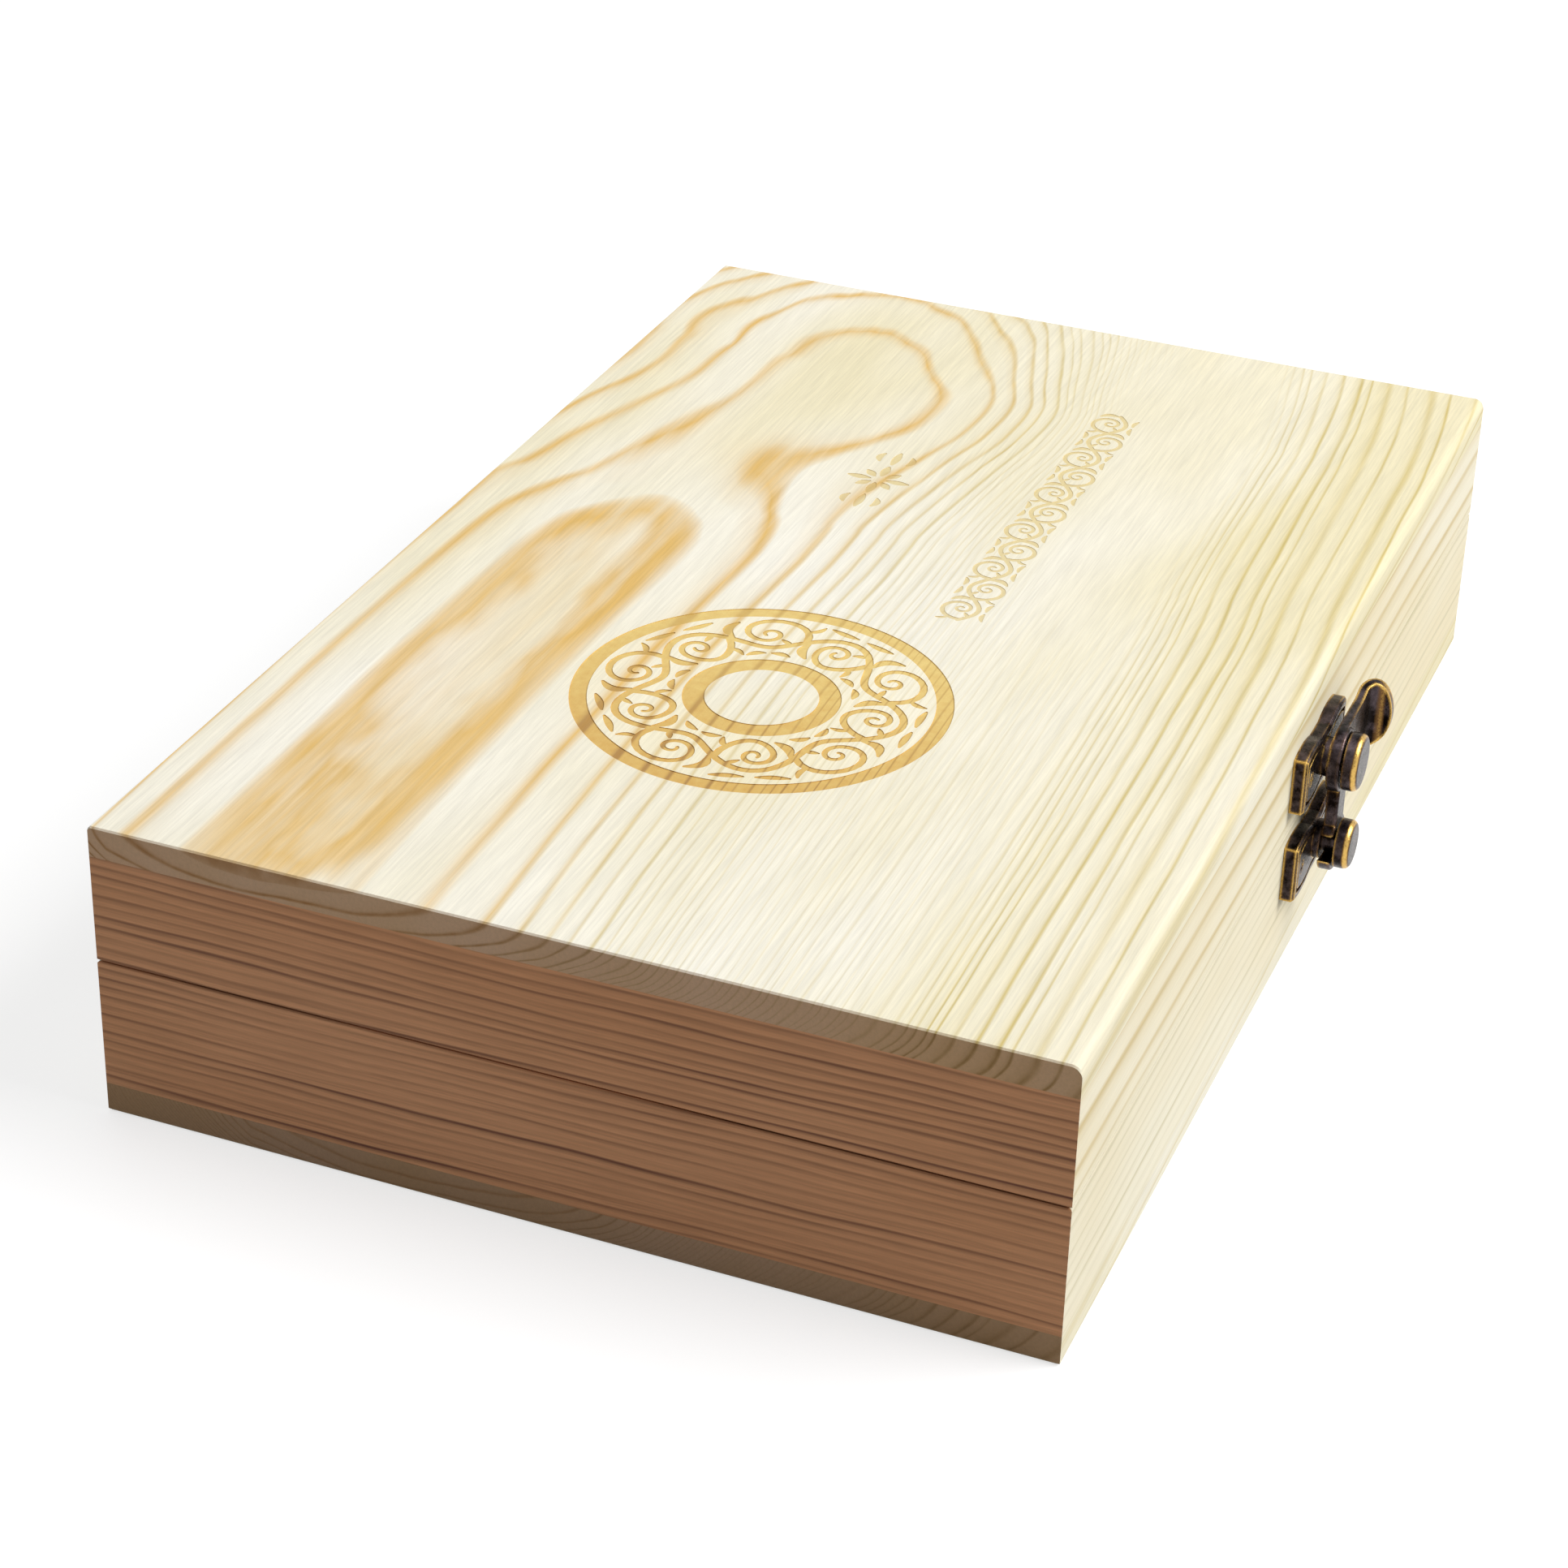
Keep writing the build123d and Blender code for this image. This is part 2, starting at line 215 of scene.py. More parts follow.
@dataclass(frozen=True)
class Spot:
    """A soft round patch on a board, 1 at its middle and fading outwards."""

    middle: Point
    reach: Point

    def share(self, mix: Mixture, place: Socket) -> Socket:
        """Give how much of the patch there is at a place.

        Args:
            mix: The material being put together.
            place: The place on the board.

        Returns:
            A value from 0 to 1.
        """
        away = mix.add("VectorMath.SUBTRACT", [place, (*self.middle, 0.0)])
        away = mix.add("VectorMath.MULTIPLY", [away, (1 / self.reach[0], 1 / self.reach[1], 0.0)])
        away = mix.add("VectorMath.DOT_PRODUCT", [away, away])
        away = mix.add("Math.MULTIPLY", [away, -1.0])
        return mix.add("Math.EXPONENT", [away])


class Grain(Enum):
    """Which way a board's fibres run in the case."""

    LENGTHWAYS = "X"
    CROSSWAYS = "Y"


@dataclass(frozen=True)
class Pine:
    """Softwood board, sanded and left without varnish.

    The eye gets cream early wood, ochre late wood that stops at once, short fibres and a dry, matt face.
    """

    name: str
    grain: Grain = Grain.LENGTHWAYS
    early_pale: str = "#FAF4E2"
    early_warm: str = "#F3E8CA"
    late_near: str = "#E2B577"
    late_far: str = "#D9BF82"
    ring_width: float = 3.6
    tilt: float = 90.0  # degrees: at 90 the rings lie level, at 0 they stand upright
    faintest: float = 0.25  # how strong the weakest ring is, next to the strongest
    contrast: float = 0.7
    wobble: float = 2.0
    narrow: float = 1.0  # below 1 the late wood takes more of each ring, above 1 less
    end_tint: str = "#E0BEA4"  # what open end grain takes from the wood's colour
    fibre: float = 0.10
    broken: float = 0.55  # how much is left of a ring line where it fades along the fibres
    seam: float = -1000.0  # the height of the sawn seam between lid and base, along which the wood is darkened as painted shade
    seed: float = 0.0
    burn: float = 0.0  # 0 is bare wood, 1 is burnt as deep as the ring ornament
    burn_pale: str = "#ECCF79"
    burn_deep: str = "#D6A74A"
    burn_crossing: str = "#AC7F3E"
    ring: Point | None = None  # the centre of a burnt ring ornament on the board
    ring_middle: float = 23.0  # half-way between the ornament's two rings

    def board(self, mix: Mixture) -> Socket:
        """Give the place on the board in millimetres, with X along the fibres.

        Args:
            mix: The material being put together.

        Returns:
            A vector socket.
        """
        place = mix.places()
        if self.grain is Grain.CROSSWAYS:
            turned = {"Vector": place, "Angle": -pi / 2}
            place = mix.add("VectorRotate", turned, rotation_type="Z_AXIS")
        return place

    def figure(self, mix: Mixture, board: Socket, stretch: Place, **settings: float) -> Socket:
        """Draw noise out along the fibres.

        Args:
            mix: The material being put together.
            board: The place on the board.
            stretch: One over the length, the width and the height of a patch.
            settings: Values for the noise.

        Returns:
            A value round 0.5.
        """
        grid = mix.add("VectorMath.MULTIPLY", [board, stretch])
        return mix.add("TexNoise", {"Vector": grid, "Scale": 1.0, **settings})

    def wander(self, mix: Mixture, board: Socket) -> Socket:
        """Bend the rings a little, in long waves along the fibres with short ones on them.

        Args:
            mix: The material being put together.
            board: The place on the board.

        Returns:
            The place to count the rings at.
        """
        for length, width, share in ((150.0, 26.0, 1.0), (34.0, 7.0, 0.28)):
            stretch = (1 / length, 1 / width, 1 / width)
            grid = mix.add("VectorMath.MULTIPLY_ADD", [board, stretch, (self.seed,) * 3])
            wave = mix.add("TexNoise", {"Vector": grid, "Scale": 1.0, "Detail": 1.0}, "Color")
            amount = (0.0, self.wobble * share * 2, self.wobble * share * 2)
            shift = mix.add("VectorMath.SUBTRACT", [wave, (0.5,) * 3])
            board = mix.add("VectorMath.MULTIPLY_ADD", [shift, amount, board])
        return board

    def age(self, mix: Mixture, place: Socket) -> tuple[Value, ...]:
        """Count the growth rings out to a place: here they are flat and evenly spaced.

        Args:
            mix: The material being put together.
            place: Where to count.

        Returns:
            The count, how clearly the rings show there, how far from the heart's colour it is, and how
            narrow the late wood is.
        """
        turn = radians(self.tilt)
        out_of_heart = (0.0, cos(turn) / self.ring_width, sin(turn) / self.ring_width)
        count = mix.add("VectorMath.DOT_PRODUCT", [place, out_of_heart])
        return mix.add("Math.ADD", [count, 200.0]), 1.0, 1.0, self.narrow  # 200 keeps the count above 0

    def sap_and_painted_shade(self, mix: Mixture, board: Socket) -> Value:
        """Say how much yellower than usual the early wood is; here it isn't."""
        return 0.0

    def late_wood(self, mix: Mixture, place: Socket) -> tuple[Socket, Value]:
        """Darken the end of each ring, more in some years than in others.

        Args:
            mix: The material being put together.
            place: Where the rings are counted.

        Returns:
            How much late wood there is, and how far from the heart's colour it is.
        """
        count, clear, far, narrow = self.age(mix, place)
        # Late wood darkens slowly through each ring and stops at once
        stops = [(0.0, 0.8), (0.12, 0.0), (0.45, 0.0), (0.75, 0.3), (0.92, 1.0), (1.0, 0.8)]
        late = mix.add("ValToRGB", [mix.add("Math.FRACT", [count])], stops=stops)
        late = mix.add("Math.POWER", [late, narrow])
        # A year's number changes in the middle of its early wood, where no line is cut by it
        year = mix.add("Math.ADD", [count, 0.35])
        year = mix.add("Math.FLOOR", [year])
        year = mix.add("Math.ADD", [year, self.seed * 7.31 + 0.37])
        strength = mix.add("TexWhiteNoise", {"W": year}, noise_dimensions="1D")
        strength = mix.ramp(strength, 0.0, 1.0, self.faintest, 1.0)
        strength = mix.blend(far, 1.0, strength)
        late = mix.add("Math.MULTIPLY", [late, strength])
        late = mix.add("Math.MULTIPLY", [late, clear])
        late = mix.add("Math.MULTIPLY", [late, self.contrast], use_clamp=True)
        # Along the fibres each line comes and goes
        streak = self.figure(mix, self.board(mix), (0.012, 0.28, 0.28), Detail=3.0)
        uneven = mix.ramp(streak, 0.25, 0.7, self.broken, 1.15)
        return mix.add("Math.MULTIPLY", [late, uneven], use_clamp=True), far

    def build(self) -> bpy.types.Material:
        """Make the material.

        Returns:
            The finished material.
        """
        mix = Finish(self.name, Roughness=0.62, IOR=1.5, Specular_IOR_Level=0.3)
        board = self.board(mix)
        late, far = self.late_wood(mix, self.wander(mix, board))

        # Fibres are 0.1 mm wide; they are drawn 0.5 mm wide so that they show
        fibre = self.figure(mix, board, (0.07, 2.0, 2.0), Detail=4.0, Roughness=0.6)
        # Where the fibres are cut across, end grain shows: darker, with open pores
        facing = mix.axis(mix.add("TexCoord", out="Normal"), self.grain.value)
        facing = mix.add("Math.ABSOLUTE", [facing])
        end = mix.ramp(facing, 0.6, 0.9)
        pores = mix.add("TexNoise", {"Vector": board, "Scale": 1.4, "Detail": 5.0, "Roughness": 0.75})
        mottle = mix.blend(end, fibre, pores)

        # The early wood is warmer in long patches
        patch = self.figure(mix, board, (0.009, 0.028, 0.028), Detail=2.0)
        patch = mix.ramp(patch, 0.35, 0.65, 0.0, 0.65)
        # Sap yellows the early wood, and on the lid panel painted shade also darkens and yellows it towards its
        # right end
        patch = mix.add("Math.ADD", [patch, self.sap_and_painted_shade(mix, board)], use_clamp=True)
        early = mix.tint(patch, self.early_pale, self.early_warm)
        band = mix.tint(far, self.late_near, self.late_far)
        wood = mix.tint(late, early, band)
        shade = mix.ramp(mottle, 0.3, 0.7, 1 - self.fibre, 1 + self.fibre * 0.6)
        wood = mix.scale(wood, shade)

        cut_across = mix.add("VectorMath.MULTIPLY", [wood, self.end_tint])
        dense = mix.ramp(late, 0.0, 1.0, 1.06, 0.62)
        cut_across = mix.scale(cut_across, dense)
        wood = mix.tint(end, wood, cut_across)

        # Painted shade: the wood is darkened within 0.6 mm of the seam between lid and base
        height = mix.distance(mix.axis(board, "Z"), self.seam)
        seam_shade = mix.ramp(height, 0.25, 0.6, 0.78, 1.0)
        wood = mix.scale(wood, seam_shade)

        if self.ring:
            wood = self.smoke(mix, board, wood)
        if self.burn:
            wood = self.scorch(mix, board, wood, late)

        # Late wood is harder: it takes a little polish, and stands up from the softer wood once sanded
        tone = mix.ramp(late, 0.0, 1.0, 0.66, 0.52)
        ridge = mix.add("Math.MULTIPLY_ADD", [late, -0.35, mottle])
        bump = mix.add("Bump", {"Strength": 0.35, "Distance": 0.00012, "Height": ridge})
        return mix.done(Base_Color=wood, Roughness=tone, Normal=bump)

    def smoke(self, mix: Mixture, board: Socket, wood: Socket) -> Socket:
        """Yellow the bare wood inside a burnt ring a little, where the smoke of the burning settled.

        Args:
            mix: The material being put together.
            board: The place on the board.
            wood: The bare wood's colour.

        Returns:
            The yellowed colour.
        """
        away = mix.add("VectorMath.SUBTRACT", [board, (*self.ring, 0.0)])
        away = mix.add("VectorMath.MULTIPLY", [away, (1.0, 1.0, 0.0)])
        away = mix.distance(mix.add("VectorMath.LENGTH", [away]), self.ring_middle)
        settled = mix.ramp(away, 8.5, 13.5, 1.0, 0.0)
        yellowed = mix.add("VectorMath.MULTIPLY", [wood, (1.02, 1.0, 0.93)])
        return mix.tint(settled, wood, yellowed)

    def scorch(self, mix: Mixture, board: Socket, wood: Socket, late: Socket) -> Socket:
        """Brown the wood as a hot tool does: ochre on early wood, brown where late wood crosses.

        Args:
            mix: The material being put together.
            board: The place on the board.
            wood: The bare wood's colour.
            late: How much late wood there is.

        Returns:
            The burnt colour.
        """
        soot = mix.add("TexNoise", {"Vector": board, "Scale": 0.5, "Detail": 4.0, "Roughness": 0.65})
        soot = mix.ramp(soot, 0.3, 0.7, 0.0, 0.45)
        # Painted shade: the burn is drawn browner at the left of the ring, fading out by its right
        left_shade = mix.ramp(mix.axis(board, "X"), -78.0, -28.0, 0.6, 0.0)
        soot = mix.add("Math.ADD", [soot, left_shade])
        brown = mix.tint(soot, self.burn_pale, self.burn_deep)
        crossing = mix.ramp(late, 0.06, 0.5)
        most = mix.add("Math.ADD", [left_shade, 0.38], use_clamp=True)
        crossing = mix.add("Math.MULTIPLY", [crossing, most])
        brown = mix.tint(crossing, brown, self.burn_crossing)
        return mix.tint(self.burn, wood, brown)


@dataclass(frozen=True)
class PlainSawnPine(Pine):
    """Pine sawn past the log's heart, sanded and left without varnish.

    The eye gets long loops of late wood where the heart comes near the face, amber and broad at the left,
    and close straight lines towards the front. The heart is given along the board as (place, value), with
    the place as a share of the board from -X.
    """

    early_pale: str = "#FBF7EA"
    early_warm: str = "#F0E6C2"
    late_near: str = "#E4BB6B"
    late_far: str = "#CDB560"
    faintest: float = 0.55
    contrast: float = 0.95
    wobble: float = 1.3
    face: float = 58.7
    half_length: float = 140.0
    heart_side: tuple[Point, ...] = (  # how far back the heart is, as a share of side_scale
        (0.0, 0.555), (0.43, 0.54), (0.536, 0.52), (0.625, 0.485), (0.714, 0.435), (0.779, 0.39),
        (0.829, 0.385), (0.893, 0.435), (0.946, 0.455), (1.0, 0.47),
    )
    heart_depth: tuple[Point, ...] = (  # how deep it is below the face, as a share of depth_scale
        (0.0, 0.11), (0.17, 0.1), (0.26, 0.06), (0.45, 0.06), (0.5, 0.1), (0.536, 0.19), (0.571, 0.28),
        (0.6, 0.345), (0.679, 0.36), (0.786, 0.368), (0.825, 0.375), (0.857, 0.43), (0.893, 0.49),
        (0.929, 0.57), (1.0, 0.75),
    )
    rings: tuple[Point, ...] = (  # distance from the heart and rings out to it, with 2 added
        (0.0, 0.0283), (0.031, 0.029), (0.056, 0.0303), (0.075, 0.032), (0.0875, 0.0331), (0.1, 0.0343),
        (0.109, 0.0358), (0.131, 0.0408), (0.172, 0.0492), (0.2063, 0.0583), (0.2313, 0.0658),
        (0.269, 0.0825), (0.303, 0.0992), (0.328, 0.1158), (0.35, 0.1325), (0.381, 0.1658),
        (0.3956, 0.1833), (0.56, 0.423), (0.7375, 0.663), (0.825, 0.742), (0.9125, 0.793), (1.0, 0.845),
    )
    side_scale: float = 100.0
    depth_scale: float = 50.0
    farthest: float = 160.0  # the distance that counts as 1 in rings
    most_rings: float = 60.0  # the rings that count as 1 in it
    slope: float = 4.0  # how flat the rings lie under the face
    faint: float = 0.34  # how clearly the finest rings show
    notch: Spot = Spot((45.0, 37.0), (20.0, 18.0))  # where the loops are pressed in
    calm: Spot = Spot((85.0, -40.0), (85.0, 22.0))  # where hardly a ring shows

    def heart(self, mix: Mixture, place: Socket, share: Socket) -> tuple[Socket, Socket]:
        """Measure how far the heart is, which wanders along the board.

        Args:
            mix: The material being put together.
            place: Where to measure.
            share: How far along the board that is.

        Returns:
            The distance, and how much of the notch there is.
        """
        y = mix.axis(place, "Y")
        z = mix.axis(place, "Z")
        side = mix.curve(share, self.heart_side)
        side = mix.add("Math.MULTIPLY", [side, self.side_scale])
        # Towards the front the rings of the left end lie further apart
        below = mix.add("Math.SUBTRACT", [y, side])
        below = mix.add("Math.MINIMUM", [below, 0.0])
        spread = mix.ramp(share, 0.0, 0.35, 0.12, 0.0)
        side = mix.add("Math.MULTIPLY_ADD", [below, spread, side])
        # Far from the heart the rings run nearly straight, rising a little towards +X
        straight = mix.ramp(share, 0.0, 1.0, 53.0, 61.0)
        bent = mix.ramp(y, -45.0, 12.0, interpolation_type="SMOOTHSTEP")
        side = mix.blend(bent, straight, side)
        depth = mix.curve(share, self.heart_depth)
        under = mix.add("Math.SUBTRACT", [self.face, z])
        under = mix.add("Math.MULTIPLY", [under, self.slope])
        depth = mix.add("Math.MULTIPLY_ADD", [depth, self.depth_scale, under])
        across = mix.add("Math.SUBTRACT", [y, side])
        away = mix.add("VectorMath.LENGTH", [mix.add("CombineXYZ", [across, depth])])
        # Beyond the heart the rings grew narrower to the left and wider to the right
        beyond = mix.add("Math.SUBTRACT", [across, 30.0])
        beyond = mix.add("Math.MAXIMUM", [beyond, 0.0])
        growth = mix.ramp(share, 0.0, 0.5, 1.4, 0.3)
        wider = mix.ramp(share, 0.5, 0.56, 0.0, 0.6)
        growth = mix.add("Math.SUBTRACT", [growth, wider])
        away = mix.add("Math.MULTIPLY_ADD", [beyond, growth, away])
        notch = self.notch.share(mix, place)
        away = mix.add("Math.MULTIPLY_ADD", [notch, 7.0, away])
        # Close round the heart the rings break up in clouds, amber at the left end
        cloud = self.figure(mix, place, (1 / 34, 1 / 12, 0.0), Detail=2.0, Roughness=0.5)
        cloud = mix.ramp(cloud, 0.3, 0.7, -4.5, 4.5)
        amber = mix.ramp(share, 0.0, 0.25, 6.0, 0.0)
        cloud = mix.add("Math.ADD", [cloud, amber])
        inner = mix.ramp(away, 8.0, 16.0, 1.0, 0.0)
        return mix.add("Math.MULTIPLY_ADD", [cloud, inner, away]), notch

    def age(self, mix: Mixture, place: Socket) -> tuple[Value, ...]:
        """Count the rings from the distance to the heart.

        Args:
            mix: The material being put together.
            place: Where to count.

        Returns:
            The count, how clearly the rings show there, how far from the heart's colour it is, and how
            narrow the late wood is.
        """
        x = mix.axis(place, "X")
        y = mix.axis(place, "Y")
        share = mix.ramp(x, -self.half_length, self.half_length)
        away, notch = self.heart(mix, place, share)
        scaled = mix.add("Math.DIVIDE", [away, self.farthest])
        count = mix.curve(scaled, self.rings)
        count = mix.add("Math.MULTIPLY", [count, self.most_rings])
        # Further out some years were better than others
        uneven = mix.add("TexNoise", {"W": away, "Scale": 0.13, "Detail": 1.0}, noise_dimensions="1D")
        loose = mix.ramp(away, 40.0, 70.0, 0.0, 1.6)
        count = mix.add("Math.MULTIPLY_ADD", [uneven, loose, count])

        # Lines are bold near the heart and at the front edge, and faint between
        bold = mix.ramp(share, 0.3, 0.5, 0.9, 1.0)
        fine = mix.ramp(away, 46.0, 74.0, bold, self.faint)
        broad = mix.ramp(away, 108.0, 118.0, 0.0, 0.8)
        core = mix.ramp(away, 14.0, 22.0, 0.2, 0.0)
        clear = mix.add("Math.ADD", [fine, broad])
        clear = mix.add("Math.ADD", [clear, core])
        clear = mix.add("Math.MULTIPLY_ADD", [self.calm.share(mix, place), -0.75, clear], use_clamp=True)

        # The first rings round the heart keep its warm colour, and so does the wood beyond it
        reach = mix.ramp(away, 32.0, 56.0)
        far = mix.ramp(y, 44.0, 24.0, 0.0, reach)
        far = mix.add("Math.SUBTRACT", [far, notch], use_clamp=True)

        # The loops' late wood is crisp, the heart's is broad, and the notch's broadest of all
        slim = mix.ramp(share, 0.25, 0.55, 1.9, 1.1)
        tight = mix.ramp(share, 0.56, 0.64, slim, 2.6)
        slim = mix.ramp(away, 32.0, 40.0, tight, slim)
        narrow = mix.ramp(away, 15.0, 24.0, 1.0, slim)
        widen = mix.ramp(away, 100.0, 114.0)
        narrow = mix.blend(widen, narrow, 1.2)
        narrow = mix.blend(notch, narrow, 0.4)
        return count, clear, far, narrow

    def sap_and_painted_shade(self, mix: Mixture, board: Socket) -> Socket:
        """Let the early wood grow yellower towards the front edge and the right end.

        Args:
            mix: The material being put together.
            board: The place on the board.

        Returns:
            How much yellower it is.
        """
        x = mix.axis(board, "X")
        y = mix.axis(board, "Y")
        front = mix.ramp(y, -52.0, -74.0, 0.0, 0.28)
        # Painted shade: towards the right end the early wood is drawn darker and yellower, most towards the
        # front
        most = mix.ramp(y, 60.0, 10.0, 0.25, 0.55)
        right = mix.ramp(x, 0.0, 100.0, 0.0, most)
        return mix.add("Math.ADD", [front, right])


@dataclass(frozen=True)
class RiftSawnPine(Pine):
    """Pine sawn with its rings at a slant, sanded and left without varnish.

    The eye gets close pale lines low on the board and broad warm bands high on it.
    """

    early_pale: str = "#F8F1DA"
    early_warm: str = "#F0E1BA"
    late_near: str = "#CEB472"
    late_far: str = "#D0C59C"
    contrast: float = 0.8
    wobble: float = 2.2
    fibre: float = 0.05
    half_width: float = 89.0
    rings: tuple[Point, ...] = (  # height on the board and rings up to it
        (0.0, 0.0), (0.3, 0.27), (0.567, 0.55), (0.633, 0.595), (0.767, 0.646), (0.883, 0.696), (1.0, 0.74),
    )
    highest: float = 60.0  # the height that counts as 1 in rings
    most_rings: float = 20.0  # the rings that count as 1 in it
    slope: float = 0.3  # how fast the rings climb towards the outer face

    def age(self, mix: Mixture, place: Socket) -> tuple[Value, ...]:
        """Count the rings from the height on the board.

        Args:
            mix: The material being put together.
            place: Where to count.

        Returns:
            The count, how clearly the rings show there, how far from the heart's colour it is, and how
            narrow the late wood is.
        """
        y = mix.axis(place, "Y")
        z = mix.axis(place, "Z")
        depth = mix.add("Math.ABSOLUTE", [y])
        depth = mix.add("Math.SUBTRACT", [depth, self.half_width])
        height = mix.add("Math.MULTIPLY_ADD", [depth, self.slope, z])
        scaled = mix.add("Math.DIVIDE", [height, self.highest])
        count = mix.curve(scaled, self.rings)
        count = mix.add("Math.MULTIPLY", [count, self.most_rings])
        return count, 1.0, mix.ramp(height, 36.0, 31.0), self.narrow


@dataclass(frozen=True)
class AgedBronze:
    """Die-cast zinc in antique bronze plating, tumbled after the plating.

    The eye gets a violet-black patina in clouds, rubbed back to bronze and then brass on edges and where
    hands reach, with the fine grit of the casting.
    """

    name: str
    patina_dark: str = "#150F0E"
    patina_light: str = "#584D50"
    bronze: str = "#6A4C2B"
    brass: str = "#D9B162"
    edge: float = 1.1  # how far the wear reaches from an edge
    fine_edge: float = 0.25  # how round an edge looks
    middle: float = 2.0  # where the latch's middle is along the case
    roughness: float = 0.27

    def rubbed(self, mix: Mixture, place: Socket, cast: Socket) -> Socket:
        """Say how far the patina is rubbed off.

        Args:
            mix: The material being put together.
            place: The place on the piece.
            cast: The casting's grit.

        Returns:
            A value from 0 to 1.
        """
        # The rounded normal leaves the true one only near an edge, where hands rub the patina off
        rounded = mix.add("Bevel", {"Radius": self.edge / METRE}, samples=10)
        true = mix.add("NewGeometry", out="Normal")
        turn = mix.add("VectorMath.DOT_PRODUCT", [rounded, true])
        worn = mix.ramp(turn, 0.995, 0.80)
        hands = mix.add("TexNoise", {"Vector": place, "Scale": 0.22, "Detail": 2.0})
        hands = mix.ramp(hands, 0.38, 0.56, 0.25, 1.0)
        # The plates' ends and the fronts of the buttons take the most rubbing
        side = mix.distance(mix.axis(place, "X"), self.middle)
        side = mix.ramp(side, 10.0, 13.5)
        front = mix.ramp(mix.axis(place, "Y"), -96.5, -98.5)
        hands = mix.add("Math.MAXIMUM", [hands, side])
        gain = mix.ramp(side, 0.0, 1.0, 1.0, 3.5)
        worn = mix.add("Math.MULTIPLY", [worn, gain], use_clamp=True)
        facing = mix.axis(mix.add("TexCoord", out="Normal"), "Y")
        facing = mix.add("Math.ABSOLUTE", [facing])
        rim = mix.add("Math.SUBTRACT", [1.0, facing])
        for share in (facing, front):
            rim = mix.add("Math.MULTIPLY", [rim, share])
        worn = mix.add("Math.MULTIPLY_ADD", [rim, 5.0, worn], use_clamp=True)
        hands = mix.add("Math.MAXIMUM", [hands, front])
        speck = mix.ramp(cast, 0.3, 0.55, 0.7, 1.0)
        worn = mix.add("Math.MULTIPLY", [worn, hands])
        return mix.add("Math.MULTIPLY", [worn, speck], use_clamp=True)

    def build(self) -> bpy.types.Material:
        """Make the material.

        Returns:
            The finished material.
        """
        mix = Finish(self.name, Metallic=1.0, Roughness=self.roughness)
        place = mix.places()
        cloud = mix.add("TexNoise", {"Vector": place, "Scale": 0.32, "Detail": 4.0, "Roughness": 0.6})
        cloud = mix.ramp(cloud, 0.4, 0.68)
        # The grit of the mould is under 0.1 mm; it is drawn 0.45 mm wide so that it shows
        cast = mix.add("TexNoise", {"Vector": place, "Scale": 2.2, "Detail": 3.0, "Roughness": 0.6})
        worn = self.rubbed(mix, place, cast)
        metal = mix.tint(cloud, self.patina_dark, self.patina_light)
        for start, end, colour in ((0.0, 0.45, self.bronze), (0.4, 0.9, self.brass)):
            share = mix.ramp(worn, start, end)
            metal = mix.tint(share, metal, colour)
        dull = mix.ramp(cast, 0.3, 0.7, self.roughness - 0.07, self.roughness + 0.14)
        fine = mix.add("Bevel", {"Radius": self.fine_edge / METRE}, samples=6)
        bump = mix.add("Bump", {"Strength": 0.3, "Distance": 0.00015, "Height": cast, "Normal": fine})
        return mix.done(Base_Color=metal, Roughness=dull, Normal=bump)


@dataclass(frozen=True)
class Foam:
    """Polymer foam, cut with a blade.

    The eye gets a matt skin of small cells that takes the light softly.
    """

    name: str
    base: str
    bright: str
    cell: float  # across a cell, drawn coarser than it is so that it shows
    depth: float  # of a cell
    sheen: float = 0.0

    def build(self) -> bpy.types.Material:
        """Make the material.

        Returns:
            The finished material.
        """
        mix = Finish(self.name, Roughness=0.92, IOR=1.45, Specular_IOR_Level=0.25, Sheen_Weight=self.sheen)
        place = mix.places(self.cell)
        cells = mix.add("TexVoronoi", {"Vector": place, "Scale": 1.0, "Randomness": 1.0})
        cloud = mix.add("TexNoise", {"Vector": place, "Scale": 0.06, "Detail": 4.0})
        tone = mix.ramp(cells, 0.1, 0.8, 0.2, 0.75)
        tone = mix.add("Math.MULTIPLY_ADD", [cloud, 0.4, tone])
        tone = mix.add("Math.SUBTRACT", [tone, 0.2], use_clamp=True)
        colour = mix.tint(tone, self.base, self.bright)
        bump = mix.add("Bump", {"Strength": 0.8, "Distance": self.depth / METRE, "Height": cells})
        return mix.done(Base_Color=colour, Normal=bump)


